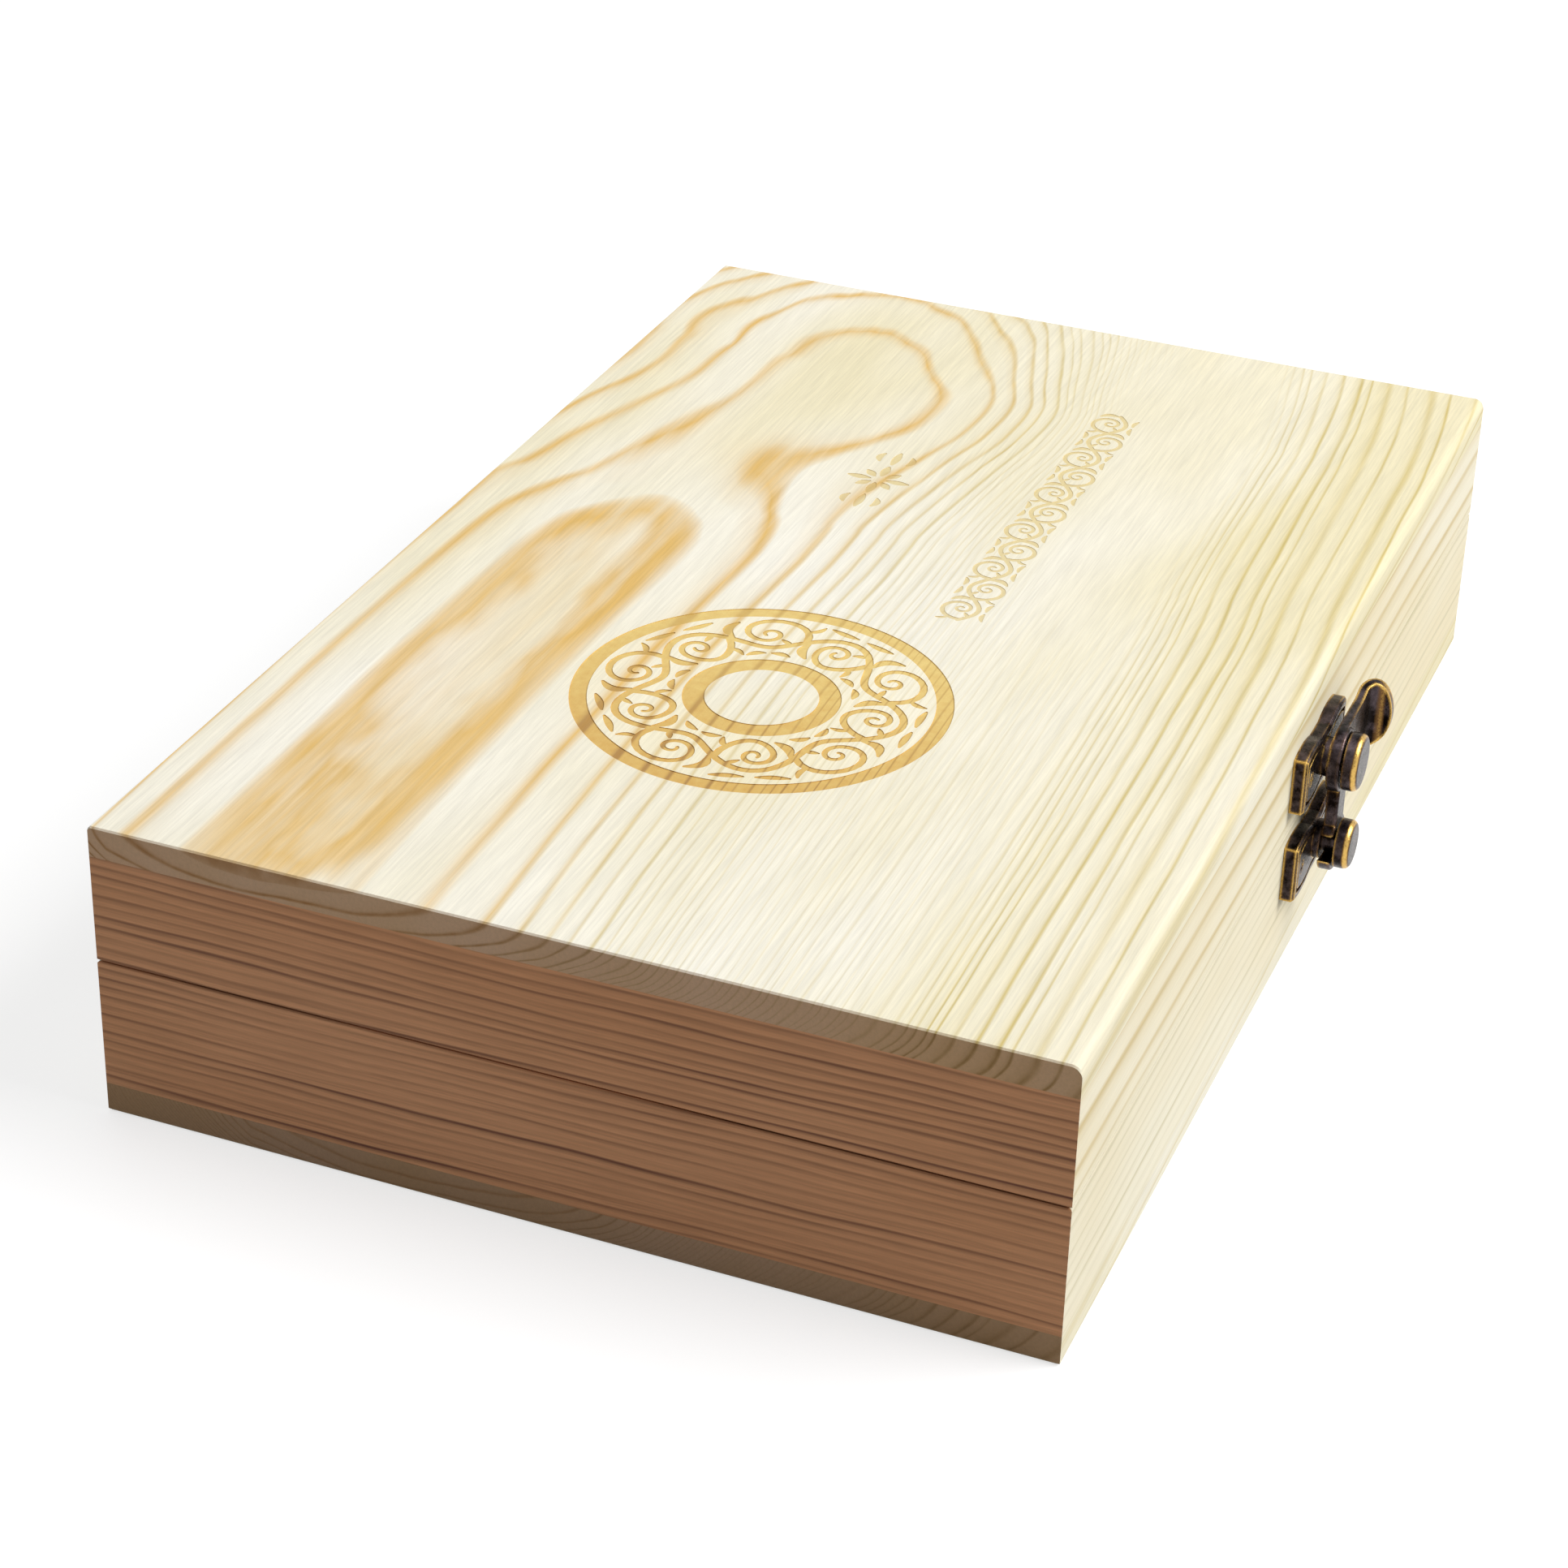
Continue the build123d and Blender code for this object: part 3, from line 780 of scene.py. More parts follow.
@dataclass(frozen=True)
class Studio:
    """White studio: a pale floor, a large key lamp towards the latch side and a soft overhead. In metres."""

    floor: str = "#B0B0B0"
    floor_size: float = 12.0
    glow: float = 0.68  # of the floor near the case, for the camera and in reflections
    sky: float = 0.26
    key: float = 80.0
    key_size: float = 1.7
    key_place: Place = (0.6, -2.0, 2.0)
    top: float = 7.5
    top_size: float = 1.4
    top_place: Place = (0.2, 0.5, 1.7)

    def lamp(self, name: str, place: Place, size: float, power: float) -> None:
        """Hang one square lamp that faces the case.

        Args:
            name: The lamp's name.
            place: Where it hangs.
            size: Its side.
            power: Its power in watts.
        """
        data = bpy.data.lights.new(name, "AREA")
        data.size = size
        data.energy = power
        lamp = bpy.data.objects.new(name, data)
        lamp.location = place
        lamp.rotation_euler = (-Vector(place)).to_track_quat("-Z", "Y").to_euler()
        bpy.context.scene.collection.objects.link(lamp)

    def seen(self, mix: Mixture) -> Socket:
        """Give 1 for a ray from the camera or off something glossy, and 0 for the rest."""
        rays = [mix.add("LightPath", out=f"Is {kind} Ray") for kind in ("Camera", "Glossy")]
        return mix.add("Math.MAXIMUM", rays)

    def paper(self) -> bpy.types.Material:
        """Make the floor's matt painted board.

        A ray from the camera or off a mirror also meets a little glow, so that the eye gets white paper.

        Returns:
            The finished material.
        """
        mix = Finish("floor_paper", Base_Color=self.floor, Roughness=0.9, Specular_IOR_Level=0.0)
        away = mix.add("VectorMath.LENGTH", [mix.add("TexCoord", out="Object")])
        level = mix.ramp(away, 0.5, 1.4, self.glow, 1.0)
        glow = mix.add("Math.MULTIPLY", [self.seen(mix), level])
        mix.shader.inputs["Emission Color"].default_value = (1, 1, 1, 1)
        return mix.done(Emission_Strength=glow)

    def build(self) -> None:
        """Make the floor, the world and the lamps, and set the plain view."""
        mesh = bpy.data.meshes.new("floor")
        half = self.floor_size / 2
        corners = [(-half, -half, 0), (half, -half, 0), (half, half, 0), (-half, half, 0)]
        mesh.from_pydata(corners, [], [(0, 1, 2, 3)])
        mesh.materials.append(self.paper())
        floor = bpy.data.objects.new("floor", mesh)
        bpy.context.scene.collection.objects.link(floor)

        world = bpy.data.worlds.new("studio")
        mix = Mixture(world)
        level = mix.ramp(self.seen(mix), 0.0, 1.0, self.sky, 1.0)
        mix.add("OutputWorld", {"Surface": mix.add("Background", {"Strength": level})})
        bpy.context.scene.world = world
        bpy.context.scene.view_settings.view_transform = "Standard"

        self.lamp("key_lamp", self.key_place, self.key_size, self.key)
        self.lamp("overhead_lamp", self.top_place, self.top_size, self.top)


@dataclass(frozen=True)
class Viewpoint:
    """Camera beyond the left end of the case, looking down along it."""

    azimuth: float = -68.875
    elevation: float = 29.873
    roll: float = 1.7216
    place: Place = (-605.47, -217.67, 383.92)
    lens: float = 85.645
    sensor: float = 36.0

    def build(self) -> None:
        """Make the camera and hand it to the scene."""
        azimuth, elevation, roll = (radians(angle) for angle in (self.azimuth, self.elevation, self.roll))
        back = Vector((sin(azimuth) * cos(elevation), -cos(azimuth) * cos(elevation), sin(elevation)))
        right = (-back).cross(Vector((0, 0, 1))).normalized()
        up = right.cross(-back)
        right, up = cos(roll) * right + sin(roll) * up, cos(roll) * up - sin(roll) * right
        data = bpy.data.cameras.new("camera")
        data.lens = self.lens
        data.sensor_width = self.sensor
        camera = bpy.data.objects.new("camera", data)
        turn = Matrix((right, up, back)).transposed().to_4x4()
        camera.matrix_world = Matrix.Translation(Vector(self.place) / METRE) @ turn
        bpy.context.scene.collection.objects.link(camera)
        bpy.context.scene.camera = camera


# ----------------------------------------------------------------------------------------------- shapes


class Shell:
    """Points and faces in millimetres that become one piece."""

    weld = 2e-6  # metres within which corners become one

    def __init__(self) -> None:
        """Start with no points and no faces."""
        self.points: list[Place] = []
        self.faces: list[tuple[list[int], int]] = []

    def face(self, corners: list[Place], finish: int = 0) -> None:
        """Add one face.

        Args:
            corners: Its corners in order.
            finish: Which of the piece's finishes it takes.
        """
        first = len(self.points)
        self.points += [tuple(corner) for corner in corners]
        self.faces.append((list(range(first, first + len(corners))), finish))

    def skin(self, loops: list[list[Place]], closed: bool = True) -> None:
        """Join loops of equal length with quads.

        Args:
            loops: The loops, in order.
            closed: Whether each loop returns to its start.
        """
        count = len(loops[0])
        for lower, upper in zip(loops, loops[1:]):
            for i in range(count if closed else count - 1):
                j = (i + 1) % count
                self.face([lower[i], lower[j], upper[j], upper[i]])

    def rise(self, outline: Callable[[float], Loop], levels: Loop) -> None:
        """Join copies of an outline, one above the other.

        Args:
            outline: Gives the outline for a size.
            levels: The size and the height of each copy, in order.
        """
        self.skin([[(x, y, z) for x, y in outline(size)] for size, z in levels])

    def piece(self, name: str, finishes: list[bpy.types.Material], smooth: float = 35.0) -> bpy.types.Object:
        """Weld the faces to one mesh object.

        Args:
            name: The piece's name.
            finishes: Its materials, in the order of the faces' numbers.
            smooth: The largest angle between faces, in degrees, that is shaded as one surface.

        Returns:
            The object, in the scene.
        """
        mesh = bpy.data.meshes.new(name)
        work = bmesh.new()
        points = [work.verts.new(Vector(point) / METRE) for point in self.points]
        for corners, finish in self.faces:
            work.faces.new([points[i] for i in corners]).material_index = finish
        bmesh.ops.remove_doubles(work, verts=work.verts, dist=self.weld)
        bmesh.ops.dissolve_degenerate(work, edges=work.edges, dist=self.weld / 2)
        bmesh.ops.recalc_face_normals(work, faces=work.faces)
        for surface in work.faces:
            surface.smooth = True
        for edge in work.edges:
            edge.smooth = len(edge.link_faces) == 2 and edge.calc_face_angle(pi) < radians(smooth)
        work.to_mesh(mesh)
        work.free()
        for finish in finishes:
            mesh.materials.append(finish)
        made = bpy.data.objects.new(name, mesh)
        bpy.context.scene.collection.objects.link(made)
        return made


@dataclass
class Plate:
    """A level surface in plan, cut up by the outlines drawn on it."""

    outline: Loop
    marks: list[tuple[Loop, int]] = field(default_factory=list)  # areas, each with a number above 0
    dots: Loop = field(default_factory=list)  # extra points, to give the surface somewhere to bend

    def triangles(self) -> tuple[Loop, list[tuple[list[int], int]]]:
        """Cut the surface into triangles.

        Returns:
            The points, and for each triangle its corners and the number of the mark that it is in, or 0.
        """
        points: list[Vector] = []
        areas: list[list[int]] = []
        for loop in [self.outline] + [loop for loop, _ in self.marks]:
            areas.append(list(range(len(points), len(points) + len(loop))))
            points += [Vector(point) for point in loop]
        points += [Vector(dot) for dot in self.dots]
        found, _, triangles, _, _, owners = delaunay_2d_cdt(points, [], areas, 1, 1e-4)
        numbers = [0] + [number for _, number in self.marks]
        cut = [(list(t), max(numbers[owner] for owner in within)) for t, within in zip(triangles, owners)]
        return [tuple(point) for point in found], cut

    def emboss(self, shell: Shell, top: float, depths: dict[int, float]) -> None:
        """Add the surface to a shell, with every mark sunk into it.

        Args:
            shell: Where the faces go; a mark's faces take its number as their finish.
            top: The height of the surface.
            depths: How far the marks of each number are sunk.
        """
        heights = {0: top} | {number: top - depth for number, depth in depths.items()}
        points, cut = self.triangles()
        beside: dict[tuple[int, int], int] = {}
        for corners, number in cut:
            shell.face([(*points[i], heights[number]) for i in corners], number)
            for a, b in zip(corners, corners[1:] + corners[:1]):
                beside[a, b] = number
        for (a, b), number in beside.items():
            if number and beside.get((b, a)) == 0:
                low = heights[number]
                wall = [(*points[a], low), (*points[b], low), (*points[b], top), (*points[a], top)]
                shell.face(wall, number)

    def lay(self, shell: Shell, height: Callable[[float, float], float]) -> None:
        """Add the surface to a shell, with a hole for every mark.

        Args:
            shell: Where the faces go.
            height: Gives the height at a point.
        """
        points, cut = self.triangles()
        raised = [(x, y, height(x, y)) for x, y in points]
        for corners, number in cut:
            if not number:
                shell.face([raised[i] for i in corners])


def ring_of(centre: Point, radius: float, start: float = 0.0, end: float = 360.0, count: int = 64) -> Loop:
    """Points along a circle or an arc.

    Args:
        centre: The circle's centre.
        radius: Its radius.
        start: The first point's angle in degrees.
        end: The angle where it ends; a full circle doesn't repeat its first point.
        count: How many points.

    Returns:
        The points.
    """
    steps = count if abs(end - start) >= 360 else count - 1
    angles = [radians(start + (end - start) * i / steps) for i in range(count)]
    return [(centre[0] + radius * cos(a), centre[1] + radius * sin(a)) for a in angles]


@dataclass(frozen=True)
class Stroke:
    """One burnt line: the points along its middle and its half-width at each."""

    path: tuple[Point, ...]
    halves: tuple[float, ...]

    def areas(self) -> list[Loop]:
        """Give the line's area as a chain of quads with a round end at each end.

        Returns:
            The quads and the two ends.
        """
        sides: list[tuple[Point, Point]] = []
        last = len(self.path) - 1
        for i, (x, y) in enumerate(self.path):
            before, after = self.path[max(i - 1, 0)], self.path[min(i + 1, last)]
            along = Vector((after[0] - before[0], after[1] - before[1])).normalized() * self.halves[i]
            sides.append(((x - along.y, y + along.x), (x + along.y, y - along.x)))
        quads = [[a[0], a[1], b[1], b[0]] for a, b in zip(sides, sides[1:])]
        ends = [ring_of(self.path[i], self.halves[i], count=12) for i in (0, last)]
        return quads + ends


def curl(centre: Point, start: Point, turn: float, eye: float, width: float) -> Stroke:
    """A line that winds inwards, fast at first, and ends near its centre.

    Args:
        centre: What it winds round.
        start: Where it starts.
        turn: How far it winds, in degrees, positive to the left.
        eye: How far from the centre it ends.
        width: Its width where it starts; it narrows to half of that.

    Returns:
        The stroke.
    """
    reach = Vector((start[0] - centre[0], start[1] - centre[1]))
    first = atan2(reach.y, reach.x)
    count = max(10, int(abs(turn) / 14))  # a point for every 14 degrees
    shares = [i / count for i in range(count + 1)]
    radii = [eye + (reach.length - eye) * (1 - s) ** 2 for s in shares]
    angles = [first + radians(turn) * s for s in shares]
    path = tuple((centre[0] + r * cos(a), centre[1] + r * sin(a)) for r, a in zip(radii, angles))
    return Stroke(path, tuple(width / 2 * (1 - 0.5 * s) for s in shares))


def leaf(base: Point, tip: Point, bow: float, width: float) -> Stroke:
    """A bowed line, thin at both ends and full in its middle.

    Args:
        base: Where it starts.
        tip: Where it ends.
        bow: How far its middle stands off the straight line, to the left.
        width: Its width in the middle.

    Returns:
        The stroke.
    """
    thin = 0.12  # half the width at its ends
    span = Vector((tip[0] - base[0], tip[1] - base[1]))
    left = Vector((-span.y, span.x)).normalized()
    shares = [i / 8 for i in range(9)]
    path = tuple(tuple(Vector(base) + span * s + left * bow * sin(pi * s)) for s in shares)
    return Stroke(path, tuple(thin + (width / 2 - thin) * sin(pi * (0.08 + 0.84 * s)) for s in shares))


@dataclass(frozen=True)
class Vine:
    """A winding stem with a curl in every bend and leaves in the gaps, on a straight strip."""

    bend: float  # length of one bend
    width: float  # of the stem
    bends: int
    drawn: float = 14.8  # the bend's length in the drawing that the places below are from
    swing: float = 3.9  # how far the stem swings to each side in it
    winding: float = 590.0  # how far each curl winds, in degrees
    eye: float = 0.95  # how far from its centre it ends
    steps: int = 12  # points in a bend of the stem

    def at(self, middle: float, along: float, across: float) -> Point:
        """Give a point near a bend.

        Args:
            middle: Where the bend's middle is on the strip.
            along: The point's place along the strip from there, in the drawing.
            across: Its place across the strip, in the drawing.

        Returns:
            The point on the strip.
        """
        scale = self.bend / self.drawn
        return middle + along * scale, across * scale

    def stem(self) -> Stroke:
        """Draw the stem through all its bends.

        Returns:
            The stroke.
        """
        shares = [i / self.steps for i in range(self.bends * self.steps + 1)]
        path = tuple(self.at(self.bend * s, 0.0, -self.swing * sin(pi * s)) for s in shares)
        return Stroke(path, (self.width / 2,) * len(shares))

    def strokes(self) -> list[Stroke]:
        """Draw the whole vine.

        Returns:
            The strokes.
        """
        made = [self.stem()]
        thin, scale = self.width * 0.85, self.bend / self.drawn
        for i in range(self.bends):
            middle, hand = (i + 0.5) * self.bend, -1 if i % 2 else 1
            spots = [
                ((0.2, 1.6), (-6.9, 0.3)),  # the curl's centre and its start on the stem
                ((7.0, 0.6), (5.2, 6.2)),
                ((-0.9, -6.2), (-5.6, -6.9)),
                ((0.9, -6.2), (5.6, -6.9)),
                ((-5.9, 3.7), (-8.1, 6.7)),
                ((-4.6, -2.3), (-2.3, -0.5)),
            ]
            pairs = [[self.at(middle, along, across * hand) for along, across in spot] for spot in spots]
            (centre, start), hug, left, right, side, spur = pairs
            made.append(curl(centre, start, -hand * self.winding, self.eye * scale, self.width))
            made.append(leaf(*hug, -hand * 1.3 * scale, self.width * 1.35))
            made.append(leaf(*left, -hand * 0.3, self.width))
            made.append(leaf(*right, hand * 0.3, self.width))
            made.append(leaf(*side, hand * 0.5, thin))
            made.append(leaf(*spur, 0.0, thin))
        return made


@dataclass
class BurntOrnament:
    """Traditional ornament burnt into the lid: a vine between two rings, a running vine and a rosette."""

    centre: Point
    outer_radius: float = 35.2
    outer_band: float = 3.3
    inner_radius: float = 14.6
    inner_band: float = 4.1
    vine_radius: float = 23.4
    vine_bends: int = 10
    vine_stem: float = 1.5
    row_start: Point = (-5.5, -20.2)
    row_length: float = 103.0
    row_bends: int = 11
    row_stem: float = 1.0
    rosette_centre: Point = (46.5, 15.6)
    petal_root: float = 1.9
    petal_tips: Point = (6.4, 4.9)  # long and short petals in turn
    deep: int = 1  # the mark number of the full burn
    light: int = 2  # the mark number of the lighter one

    def band(self, radius: float, width: float) -> list[Loop]:
        """Give a ring as a chain of quads.

        Args:
            radius: Its outer radius.
            width: How wide the ring is.

        Returns:
            The quads.
        """
        outer, inner = (ring_of(self.centre, r, count=128) for r in (radius, radius - width))
        rungs = list(zip(outer, inner))
        return [[a[0], b[0], b[1], a[1]] for a, b in zip(rungs, rungs[1:] + rungs[:1])]

    def ring_vine(self) -> list[Stroke]:
        """Bend a vine into the space between the rings.

        Returns:
            The strokes.
        """
        bend = tau * self.vine_radius / self.vine_bends
        x, y = self.centre
        turned = []
        for stroke in Vine(bend, self.vine_stem, self.vine_bends).strokes():
            polar = [(along / self.vine_radius, self.vine_radius + across) for along, across in stroke.path]
            turned.append(Stroke(tuple((x + r * cos(a), y + r * sin(a)) for a, r in polar), stroke.halves))
        return turned

    def running_vine(self) -> list[Stroke]:
        """Lay a small vine along a straight line.

        Returns:
            The strokes.
        """
        vine = Vine(self.row_length / self.row_bends, self.row_stem, self.row_bends)
        left, middle = self.row_start
        return [Stroke(tuple((x + left, y + middle) for x, y in s.path), s.halves) for s in vine.strokes()]

    def rosette(self) -> list[Stroke]:
        """Draw eight petals round an eye, with three short bars on each side.

        Returns:
            The strokes.
        """
        x, y = self.rosette_centre
        strokes = []
        for i in range(8):
            angle = tau * i / 8
            reach = (self.petal_root, self.petal_tips[i % 2])
            root, tip = ((x + r * cos(angle), y + r * sin(angle)) for r in reach)
            strokes.append(leaf(root, tip, 0.0, 1.9))
        bars = ((7.8, 13.6, 0.0, 0.0, 1.8), (8.6, 12.4, 3.0, 0.6, 1.5), (8.6, 12.4, -3.0, -0.6, 1.5))
        for side in (-1, 1):
            for near, far, rise, bow, width in bars:
                root, tip = ((x + side * reach, y + rise) for reach in (near, far))
                strokes.append(leaf(root, tip, side * bow, width))
        return strokes

    def marks(self) -> list[tuple[Loop, int]]:
        """Give every burnt area with its mark number.

        Returns:
            The areas and their numbers.
        """
        deep = self.band(self.outer_radius, self.outer_band) + self.band(self.inner_radius, self.inner_band)
        deep += [area for stroke in self.ring_vine() for area in stroke.areas()]
        light = [area for stroke in self.running_vine() + self.rosette() for area in stroke.areas()]
        return [(area, self.deep) for area in deep] + [(area, self.light) for area in light]


# -------------------------------------------------------------------------------------------- sub-parts


def attach(piece: bpy.types.Object, body: str, slot: str, *nodes: str) -> bpy.types.Object:
    """Let a piece ride on a body and stand for its CAD nodes.

    Args:
        piece: The new piece.
        body: The CAD body that it moves with.
        slot: The name of the record's material slot for its finish; not used.
        nodes: The CAD nodes that it replaces.

    Returns:
        The piece.
    """
    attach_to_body(piece, body)
    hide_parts(*nodes)
    log.info("%s rides on %s, %d faces", piece.name, body, len(piece.data.polygons))
    return piece


def dress(material: bpy.types.Material, *nodes: str) -> None:
    """Give CAD nodes a finish.

    Args:
        material: The finish.
        nodes: The nodes' names.
    """
    for node in nodes:
        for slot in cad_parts[node].material_slots:
            slot.material = material
        log.info("%s takes %s", node, material.name)


@dataclass
class LidPanel:
    """The lid's top panel, with the burnt ornament in its face."""

    front_radius: float = 2.0
    back_ease: float = 0.5
    end_ease: float = 0.3
    ring_centre: Point = (-49.5, 2.0)
    deep_burn: float = 0.14
    light_burn: float = 0.08

    def section(self, low: Vector, high: Vector, drop: float) -> Loop:
        """Give the panel's outline across its length, from the back of the top face round to its front.

        Args:
            low: The panel's lowest corner.
            high: Its highest corner.
            drop: How far the top edges are taken down.

        Returns:
            Points in Y and Z.
        """
        top, radius = high.z - drop, self.front_radius
        back = [(high.y - self.back_ease, top), (high.y, top - self.back_ease), (high.y, low.z)]
        return back + [(low.y, low.z)] + ring_of((low.y + radius, top - radius), radius, 180, 90, 9)

    def panel(self, finishes: list[bpy.types.Material]) -> bpy.types.Object:
        """Make the panel with the ornament sunk into it.

        Args:
            finishes: Bare pine, fully burnt pine and lightly burnt pine.

        Returns:
            The piece.
        """
        low, high = node_box("lid_top_panel")
        shell = Shell()
        ease = self.end_ease
        places = [(low.x, ease), (low.x + ease, 0.0), (high.x - ease, 0.0), (high.x, ease)]
        loops = [[(x, y, z) for y, z in self.section(low, high, drop)] for x, drop in places]
        shell.skin(loops, closed=False)
        for loop in (loops[0], loops[-1]):
            shell.face(loop)
        for left, right in (loops[:2], loops[2:]):
            shell.face([left[0], left[-1], right[-1], right[0]])
        corners = [loops[1][0][:2], loops[1][-1][:2], loops[2][-1][:2], loops[2][0][:2]]
        depths = {BurntOrnament.deep: self.deep_burn, BurntOrnament.light: self.light_burn}
        Plate(corners, BurntOrnament(self.ring_centre).marks()).emboss(shell, high.z, depths)
        return shell.piece("lid_panel", finishes, smooth=30)

    def build(self) -> None:
        """Make the panel.

        The eye gets the broad arches of a board sawn near the heart, the rings and the vine between them
        burnt to a dark brown, and the running vine and the rosette only scorched.
        """
        woods = (
            PlainSawnPine("plain_sawn_pine", ring=self.ring_centre),
            PlainSawnPine("burnt_pine", burn=0.92, faint=0.8),
            PlainSawnPine("lightly_burnt_pine", burn=0.7, burn_pale="#E4CE8C", burn_deep="#D2B562"),
        )
        attach(self.panel([wood.build() for wood in woods]), "lid", "pine", "lid_top_panel")


@dataclass
class Rails:
    """The rails of both halves, whose grain runs on across the seam, and the bottom panel."""

    seam: float = 31.55  # the middle of the saw cut between the halves
    floor_face: float = 6.0

    def build(self) -> None:
        """Finish the rails and the bottom panel.

        The eye gets straight grain on the long rails, broad dark late wood on the end rails and quiet, wide
        grain under the case. The end rails are warmer and darker than the long rails, partly their own tone
        and partly painted shade; painted shade also darkens the bottom panel's end grain and every rail at
        the seam.
        """
        long_rail = RiftSawnPine("rift_sawn_pine", seam=self.seam, seed=3.1)
        # Partly painted shade: the end rails take a warmer, darker pine than the long rails, partly their own
        # wood and partly the shade on the left end, painted on both ends alike
        end_rail = Pine(
            "end_rail_pine_with_painted_shade", Grain.CROSSWAYS, early_pale="#F2B384", early_warm="#E5A473", late_near="#5E2C10",
            late_far="#5E2C10", ring_width=1.95, contrast=0.95, faintest=0.3, narrow=0.6, wobble=2.4,
            fibre=0.17, seed=11.0, broken=0.1, seam=self.seam,
        )
        # Painted shade: the bottom panel's end grain takes a darker tint, for the shade low on the end next to
        # the floor
        floor = PlainSawnPine(
            "bottom_pine", face=self.floor_face, heart_side=((0.0, 0.30), (1.0, 0.24)),
            heart_depth=((0.0, 0.3), (1.0, 0.6)), contrast=0.6, seed=5.0, end_tint="#BD9E86",
        )
        for wood, sides in ((long_rail, ("front", "back")), (end_rail, ("left", "right"))):
            dress(wood.build(), *(f"{half}_{side}_rail" for half in ("base", "lid") for side in sides))
        dress(floor.build(), "base_bottom_panel")


@dataclass
class FoamLining:
    """The riser and tray in the base, and the pad in the lid."""

    columns: int = 5
    rows: int = 3
    pitch: float = 51.0
    recess_radius: float = 23.2
    notch_radius: float = 7.0
    notch_angle: float = 45.0  # where a recess has its finger notch, in degrees
    wall_points: int = 73
    notch_points: int = 25
    edge: float = 0.6  # rounding that the die leaves on the foam
    riser_grid: float = 5.0  # between the points of the riser's face
    riser_dish: float = 0.12
    riser_wave: float = 23.0
    pad_corner: float = 6.0
    pad_edge: float = 3.5
    pad_crown: float = 0.9
    pad_grid: float = 4.0
    pad_ripple: float = 0.35
    pad_wave: float = 17.0
    pad_pinch: float = 0.4  # how far the pad's wall leans in before its edge
    corner_share: float = 0.9  # how much of an inset the corners' radius loses

    def recess(self, centre: Point, grow: float) -> Loop:
        """Outline of a recess with its finger notch.

        Args:
            centre: The recess's centre.
            grow: How far the outline stands outside the recess's wall.

        Returns:
            The points.
        """
        big, small, gap = self.recess_radius + grow, self.notch_radius + grow, self.recess_radius
        at_big = degrees(acos((gap**2 + big**2 - small**2) / (2 * gap * big)))
        at_small = degrees(acos((gap**2 + small**2 - big**2) / (2 * gap * small)))
        turn = self.notch_angle
        notch = (centre[0] + gap * cos(radians(turn)), centre[1] + gap * sin(radians(turn)))
        wall = ring_of(centre, big, turn + at_big, turn + 360 - at_big, self.wall_points)
        start, end = turn + 180 + at_small, turn + 540 - at_small
        return wall + ring_of(notch, small, start, end, self.notch_points)[1:-1]

    def rim(self, top: float) -> Loop:
        """Give the insets and heights of a rounded edge, from the wall to the top face.

        Args:
            top: The height of the top face.

        Returns:
            Pairs of inset and height.
        """
        turns = [radians(90 * i / 3) for i in range(4)]
        return [(self.edge * (1 - cos(t)), top - self.edge * (1 - sin(t))) for t in turns]

    def slab(self, low: Vector, high: Vector, inset: float) -> Loop:
        """Give the corners of a slab's outline.

        Args:
            low: The slab's lowest corner.
            high: Its highest corner.
            inset: How far the outline is drawn in.

        Returns:
            The corners.
        """
        x, y = high.x - inset, high.y - inset
        return [(low.x + inset, low.y + inset), (x, low.y + inset), (x, y), (low.x + inset, y)]

    def tray(self, finish: bpy.types.Material) -> bpy.types.Object:
        """Make the die-cut tray.

        Args:
            finish: The foam.

        Returns:
            The piece.
        """
        low, high = node_box("foam_tray")
        shell = Shell()
        centres = [
            ((column - (self.columns - 1) / 2) * self.pitch, (row - (self.rows - 1) / 2) * self.pitch)
            for row in range(self.rows)
            for column in range(self.columns)
        ]
        levels = [(0.0, low.z)] + self.rim(high.z)
        shell.rise(partial(self.slab, low, high), levels)
        for centre in centres:
            shell.rise(partial(self.recess, centre), levels)
        for inset, z in (levels[0], levels[-1]):
            holes = [(self.recess(centre, inset), 1) for centre in centres]
            Plate(self.slab(low, high, inset), holes).lay(shell, lambda x, y, level=z: level)
        return shell.piece("foam_tray_sheet", [finish], smooth=40)

    def riser(self, finish: bpy.types.Material) -> bpy.types.Object:
        """Make the sheet under the tray, faintly dished where the capsules press.

        Args:
            finish: The foam.

        Returns:
            The piece.
        """
        low, high = node_box("foam_riser")
        shell = Shell()
        outline = partial(self.slab, low, high)
        levels = [(self.edge, low.z), (0.0, low.z + self.edge)] + self.rim(high.z)
        shell.rise(outline, levels)
        shell.face([(*corner, low.z) for corner in outline(self.edge)])
        step = self.riser_grid
        across, along = int((high.x - low.x) / step), int((high.y - low.y) / step)
        dots = [(low.x + step * i, low.y + step * j) for i in range(1, across) for j in range(1, along)]
        border = outline(levels[-1][0])
        corners = {tuple(round(v, 3) for v in corner) for corner in border}

        def height(x: float, y: float) -> float:
            """Dish the face everywhere but at its corners."""
            dish = self.riser_dish * abs(noise.noise(Vector((x, y, 0)) / self.riser_wave))
            return high.z if (round(x, 3), round(y, 3)) in corners else high.z - dish

        Plate(border, dots=dots).lay(shell, height)
        return shell.piece("foam_riser_sheet", [finish], smooth=40)

    def pad_outline(self, low: Vector, high: Vector, inset: float) -> Loop:
        """Outline of the lid's pad, with round corners.

        Args:
            low: The pad's lowest corner.
            high: Its highest corner.
            inset: How far the outline is drawn in.

        Returns:
            The points.
        """
        r = self.pad_corner
        loop: Loop = []
        for i, (sx, sy) in enumerate(((1, 1), (-1, 1), (-1, -1), (1, -1))):
            x, y = (high.x if sx > 0 else low.x) - sx * r, (high.y if sy > 0 else low.y) - sy * r
            loop += ring_of((x, y), r - inset * self.corner_share, 90 * i, 90 * i + 90, 9)
        return loop

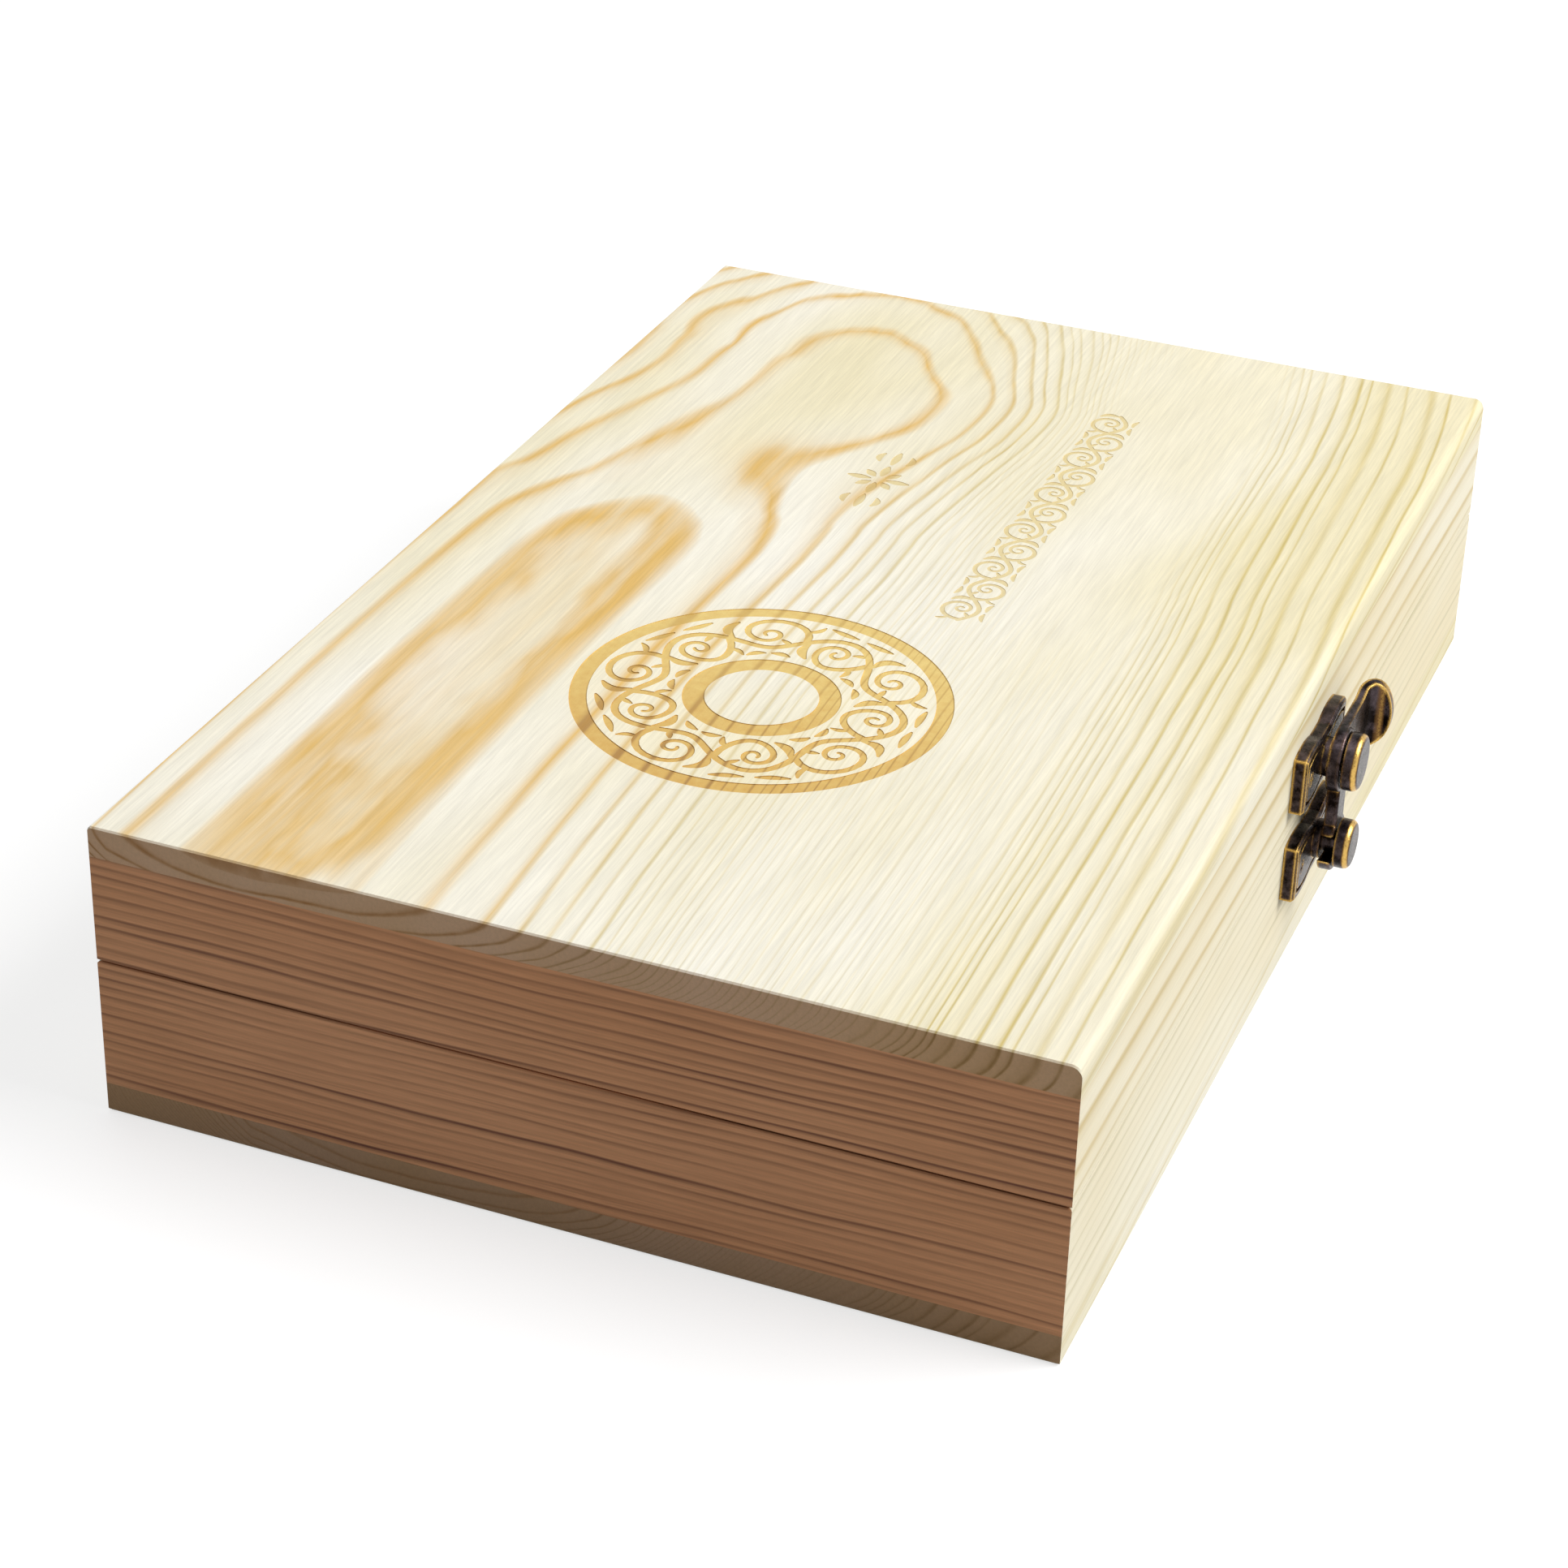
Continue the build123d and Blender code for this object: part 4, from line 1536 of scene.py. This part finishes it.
    def pad(self, finish: bpy.types.Material) -> bpy.types.Object:
        """Make the soft pad in the lid, crowned towards the tray.

        Args:
            finish: The sponge.

        Returns:
            The piece.
        """
        low, high = node_box("lid_pad")
        shell = Shell()
        outline = partial(self.pad_outline, low, high)
        r, pinch = self.pad_edge, self.pad_pinch
        turns = [radians(15 * i) for i in range(7)]
        levels = [(0.0, high.z), (pinch, (high.z + low.z) / 2)]
        levels += [(pinch + r * (1 - cos(t)), low.z + r * (1 - sin(t))) for t in turns]
        shell.rise(outline, levels)
        shell.face([(*point, high.z) for point in outline(0.0)])
        border = outline(levels[-1][0])
        half_x, half_y = max(x for x, _ in border), max(y for _, y in border)
        step = self.pad_grid
        across, along = int(2 * half_x / step), int(2 * half_y / step)
        dots = [
            (-half_x + step * (i + 0.5), -half_y + step * (j + 0.5))
            for i in range(1, across - 1)
            for j in range(1, along - 1)
        ]

        def height(x: float, y: float) -> float:
            """Crown the face, flat in its middle and falling to its edges, with a faint ripple.

            Args:
                x: The place along the pad.
                y: The place across it.

            Returns:
                The face's height there.
            """
            bulge = max(0.0, 1 - (x / half_x) ** 6) * max(0.0, 1 - (y / half_y) ** 6)
            ripple = noise.noise(Vector((x, y, 3.0)) / self.pad_wave) * self.pad_ripple
            return low.z - bulge * (self.pad_crown + ripple)

        Plate(border, dots=dots).lay(shell, height)
        return shell.piece("lid_pad_sponge", [finish], smooth=50)

    def build(self) -> None:
        """Make the three foam pieces.

        The eye gets matt black foam with closed cells where the die cut it, and a softer, greyer sponge.
        """
        cut_foam = Foam("closed_cell_foam", "#121214", "#2B2B2F", cell=0.7, depth=0.12).build()
        sponge = Foam("open_cell_sponge", "#26262A", "#4B4B50", cell=1.1, depth=0.35, sheen=0.15).build()
        tray = attach(self.tray(cut_foam), "base", "black_foam", "foam_tray")
        riser = attach(self.riser(cut_foam), "base", "black_foam", "foam_riser")
        pad = attach(self.pad(sponge), "lid", "sponge", "lid_pad")


@dataclass
class Screws:
    """Countersunk screws with a cross recess, one group for each row of hinge leaves or latch plate."""

    head_radius: float = 1.5
    head_height: float = 0.6
    shank_radius: float = 0.7
    shank_length: float = 6.0
    tip_length: float = 1.0
    tip_radius: float = 0.05
    recess_arm: float = 1.0
    recess_width: float = 0.42
    recess_depth: float = 0.3

    def one(self, shell: Shell, place: Vector, out: int, turn: float) -> None:
        """Add one screw to a shell.

        Args:
            shell: Where its faces go.
            place: The middle of its head's face.
            out: -1 where the head faces -Y, 1 where it faces +Y.
            turn: How far the cross is turned, in degrees.
        """
        local = Shell()
        circle = partial(ring_of, (0, 0), count=24)
        arms = []
        for angle in (radians(turn), radians(turn + 90)):
            along = Vector((cos(angle), sin(angle)))
            side = Vector((-along.y, along.x)) * self.recess_width / 2
            reach = along * self.recess_arm
            ends = (-reach - side, reach - side, reach + side, -reach + side)
            arms.append(([tuple(end) for end in ends], 1))
        Plate(circle(self.head_radius), arms).emboss(local, 0.0, {1: self.recess_depth})
        tip = -self.head_height - self.shank_length
        levels = [
            (self.head_radius, 0.0), (self.shank_radius, -self.head_height),
            (self.shank_radius, tip + self.tip_length), (self.tip_radius, tip),
        ]
        local.rise(circle, levels)
        local.face([(*point, tip) for point in circle(self.tip_radius)])
        first = len(shell.points)
        shell.points += [(place.x + out * -x, place.y + out * z, place.z + y) for x, y, z in local.points]
        shell.faces += [([first + i for i in corners], 0) for corners, _ in local.faces]

    def group(self, node: str, body: str, xs: list[float], finish: bpy.types.Material) -> None:
        """Make the screws of one CAD node.

        Args:
            node: The CAD node that they replace.
            body: The body that they ride on.
            xs: Where the screws are along the case.
            finish: Their metal.
        """
        low, high = node_box(node)
        out = 1 if high.y > 0 else -1
        height = (low.z + high.z) / 2
        shell = Shell()
        draw = Random(node)
        for x in xs:
            self.one(shell, Vector((x, high.y if out > 0 else low.y, height)), out, draw.uniform(0, 90))
        attach(shell.piece(node.replace("screws", "cross_screws"), [finish]), body, "screw_brass", node)


@dataclass
class Hardware:
    """The swing-hook latch on the front and the two butt hinges on the back."""

    latch_x: float = 2.0
    hinge_xs: tuple[float, float] = (-86.0, 86.0)
    screw_spacing: float = 20.0

    def build(self) -> None:
        """Finish the metal pieces and make the screws.

        The eye gets castings with worn edges, and leaves, pins and screws of smoother, shinier sheet.
        """
        cast = AgedBronze("antique_bronze_casting").build()
        sheet = AgedBronze("antique_bronze_sheet", "#2A201A", "#5B4A3C", edge=0.5, roughness=0.36).build()
        latch = ("pivot_plate", "catch_plate", "hook", "pivot_post", "catch_post")
        dress(cast, *(f"latch_{part}" for part in latch))
        hinge = ("base_leaf", "lid_leaf", "pin")
        dress(sheet, *(f"hinge_{side}_{part}" for side in ("left", "right") for part in hinge))
        half = self.screw_spacing / 2
        latch_xs = [self.latch_x - half, self.latch_x + half]
        hinge_xs = [x + s * half for x in self.hinge_xs for s in (-1, 1)]
        screws = Screws()
        for node, body, xs in (
            ("latch_pivot_screws", "lid", latch_xs), ("latch_catch_screws", "base", latch_xs),
            ("lid_hinge_screws", "lid", hinge_xs), ("base_hinge_screws", "base", hinge_xs),
        ):
            screws.group(node, body, xs, sheet)


def main() -> None:
    """Build the case round the frame, then the studio."""
    logging.basicConfig(level=logging.INFO, format="%(name)s: %(message)s")
    Viewpoint().build()
    LidPanel().build()
    Rails().build()
    FoamLining().build()
    Hardware().build()
    Studio().build()


if __name__ == "__main__":
    main()
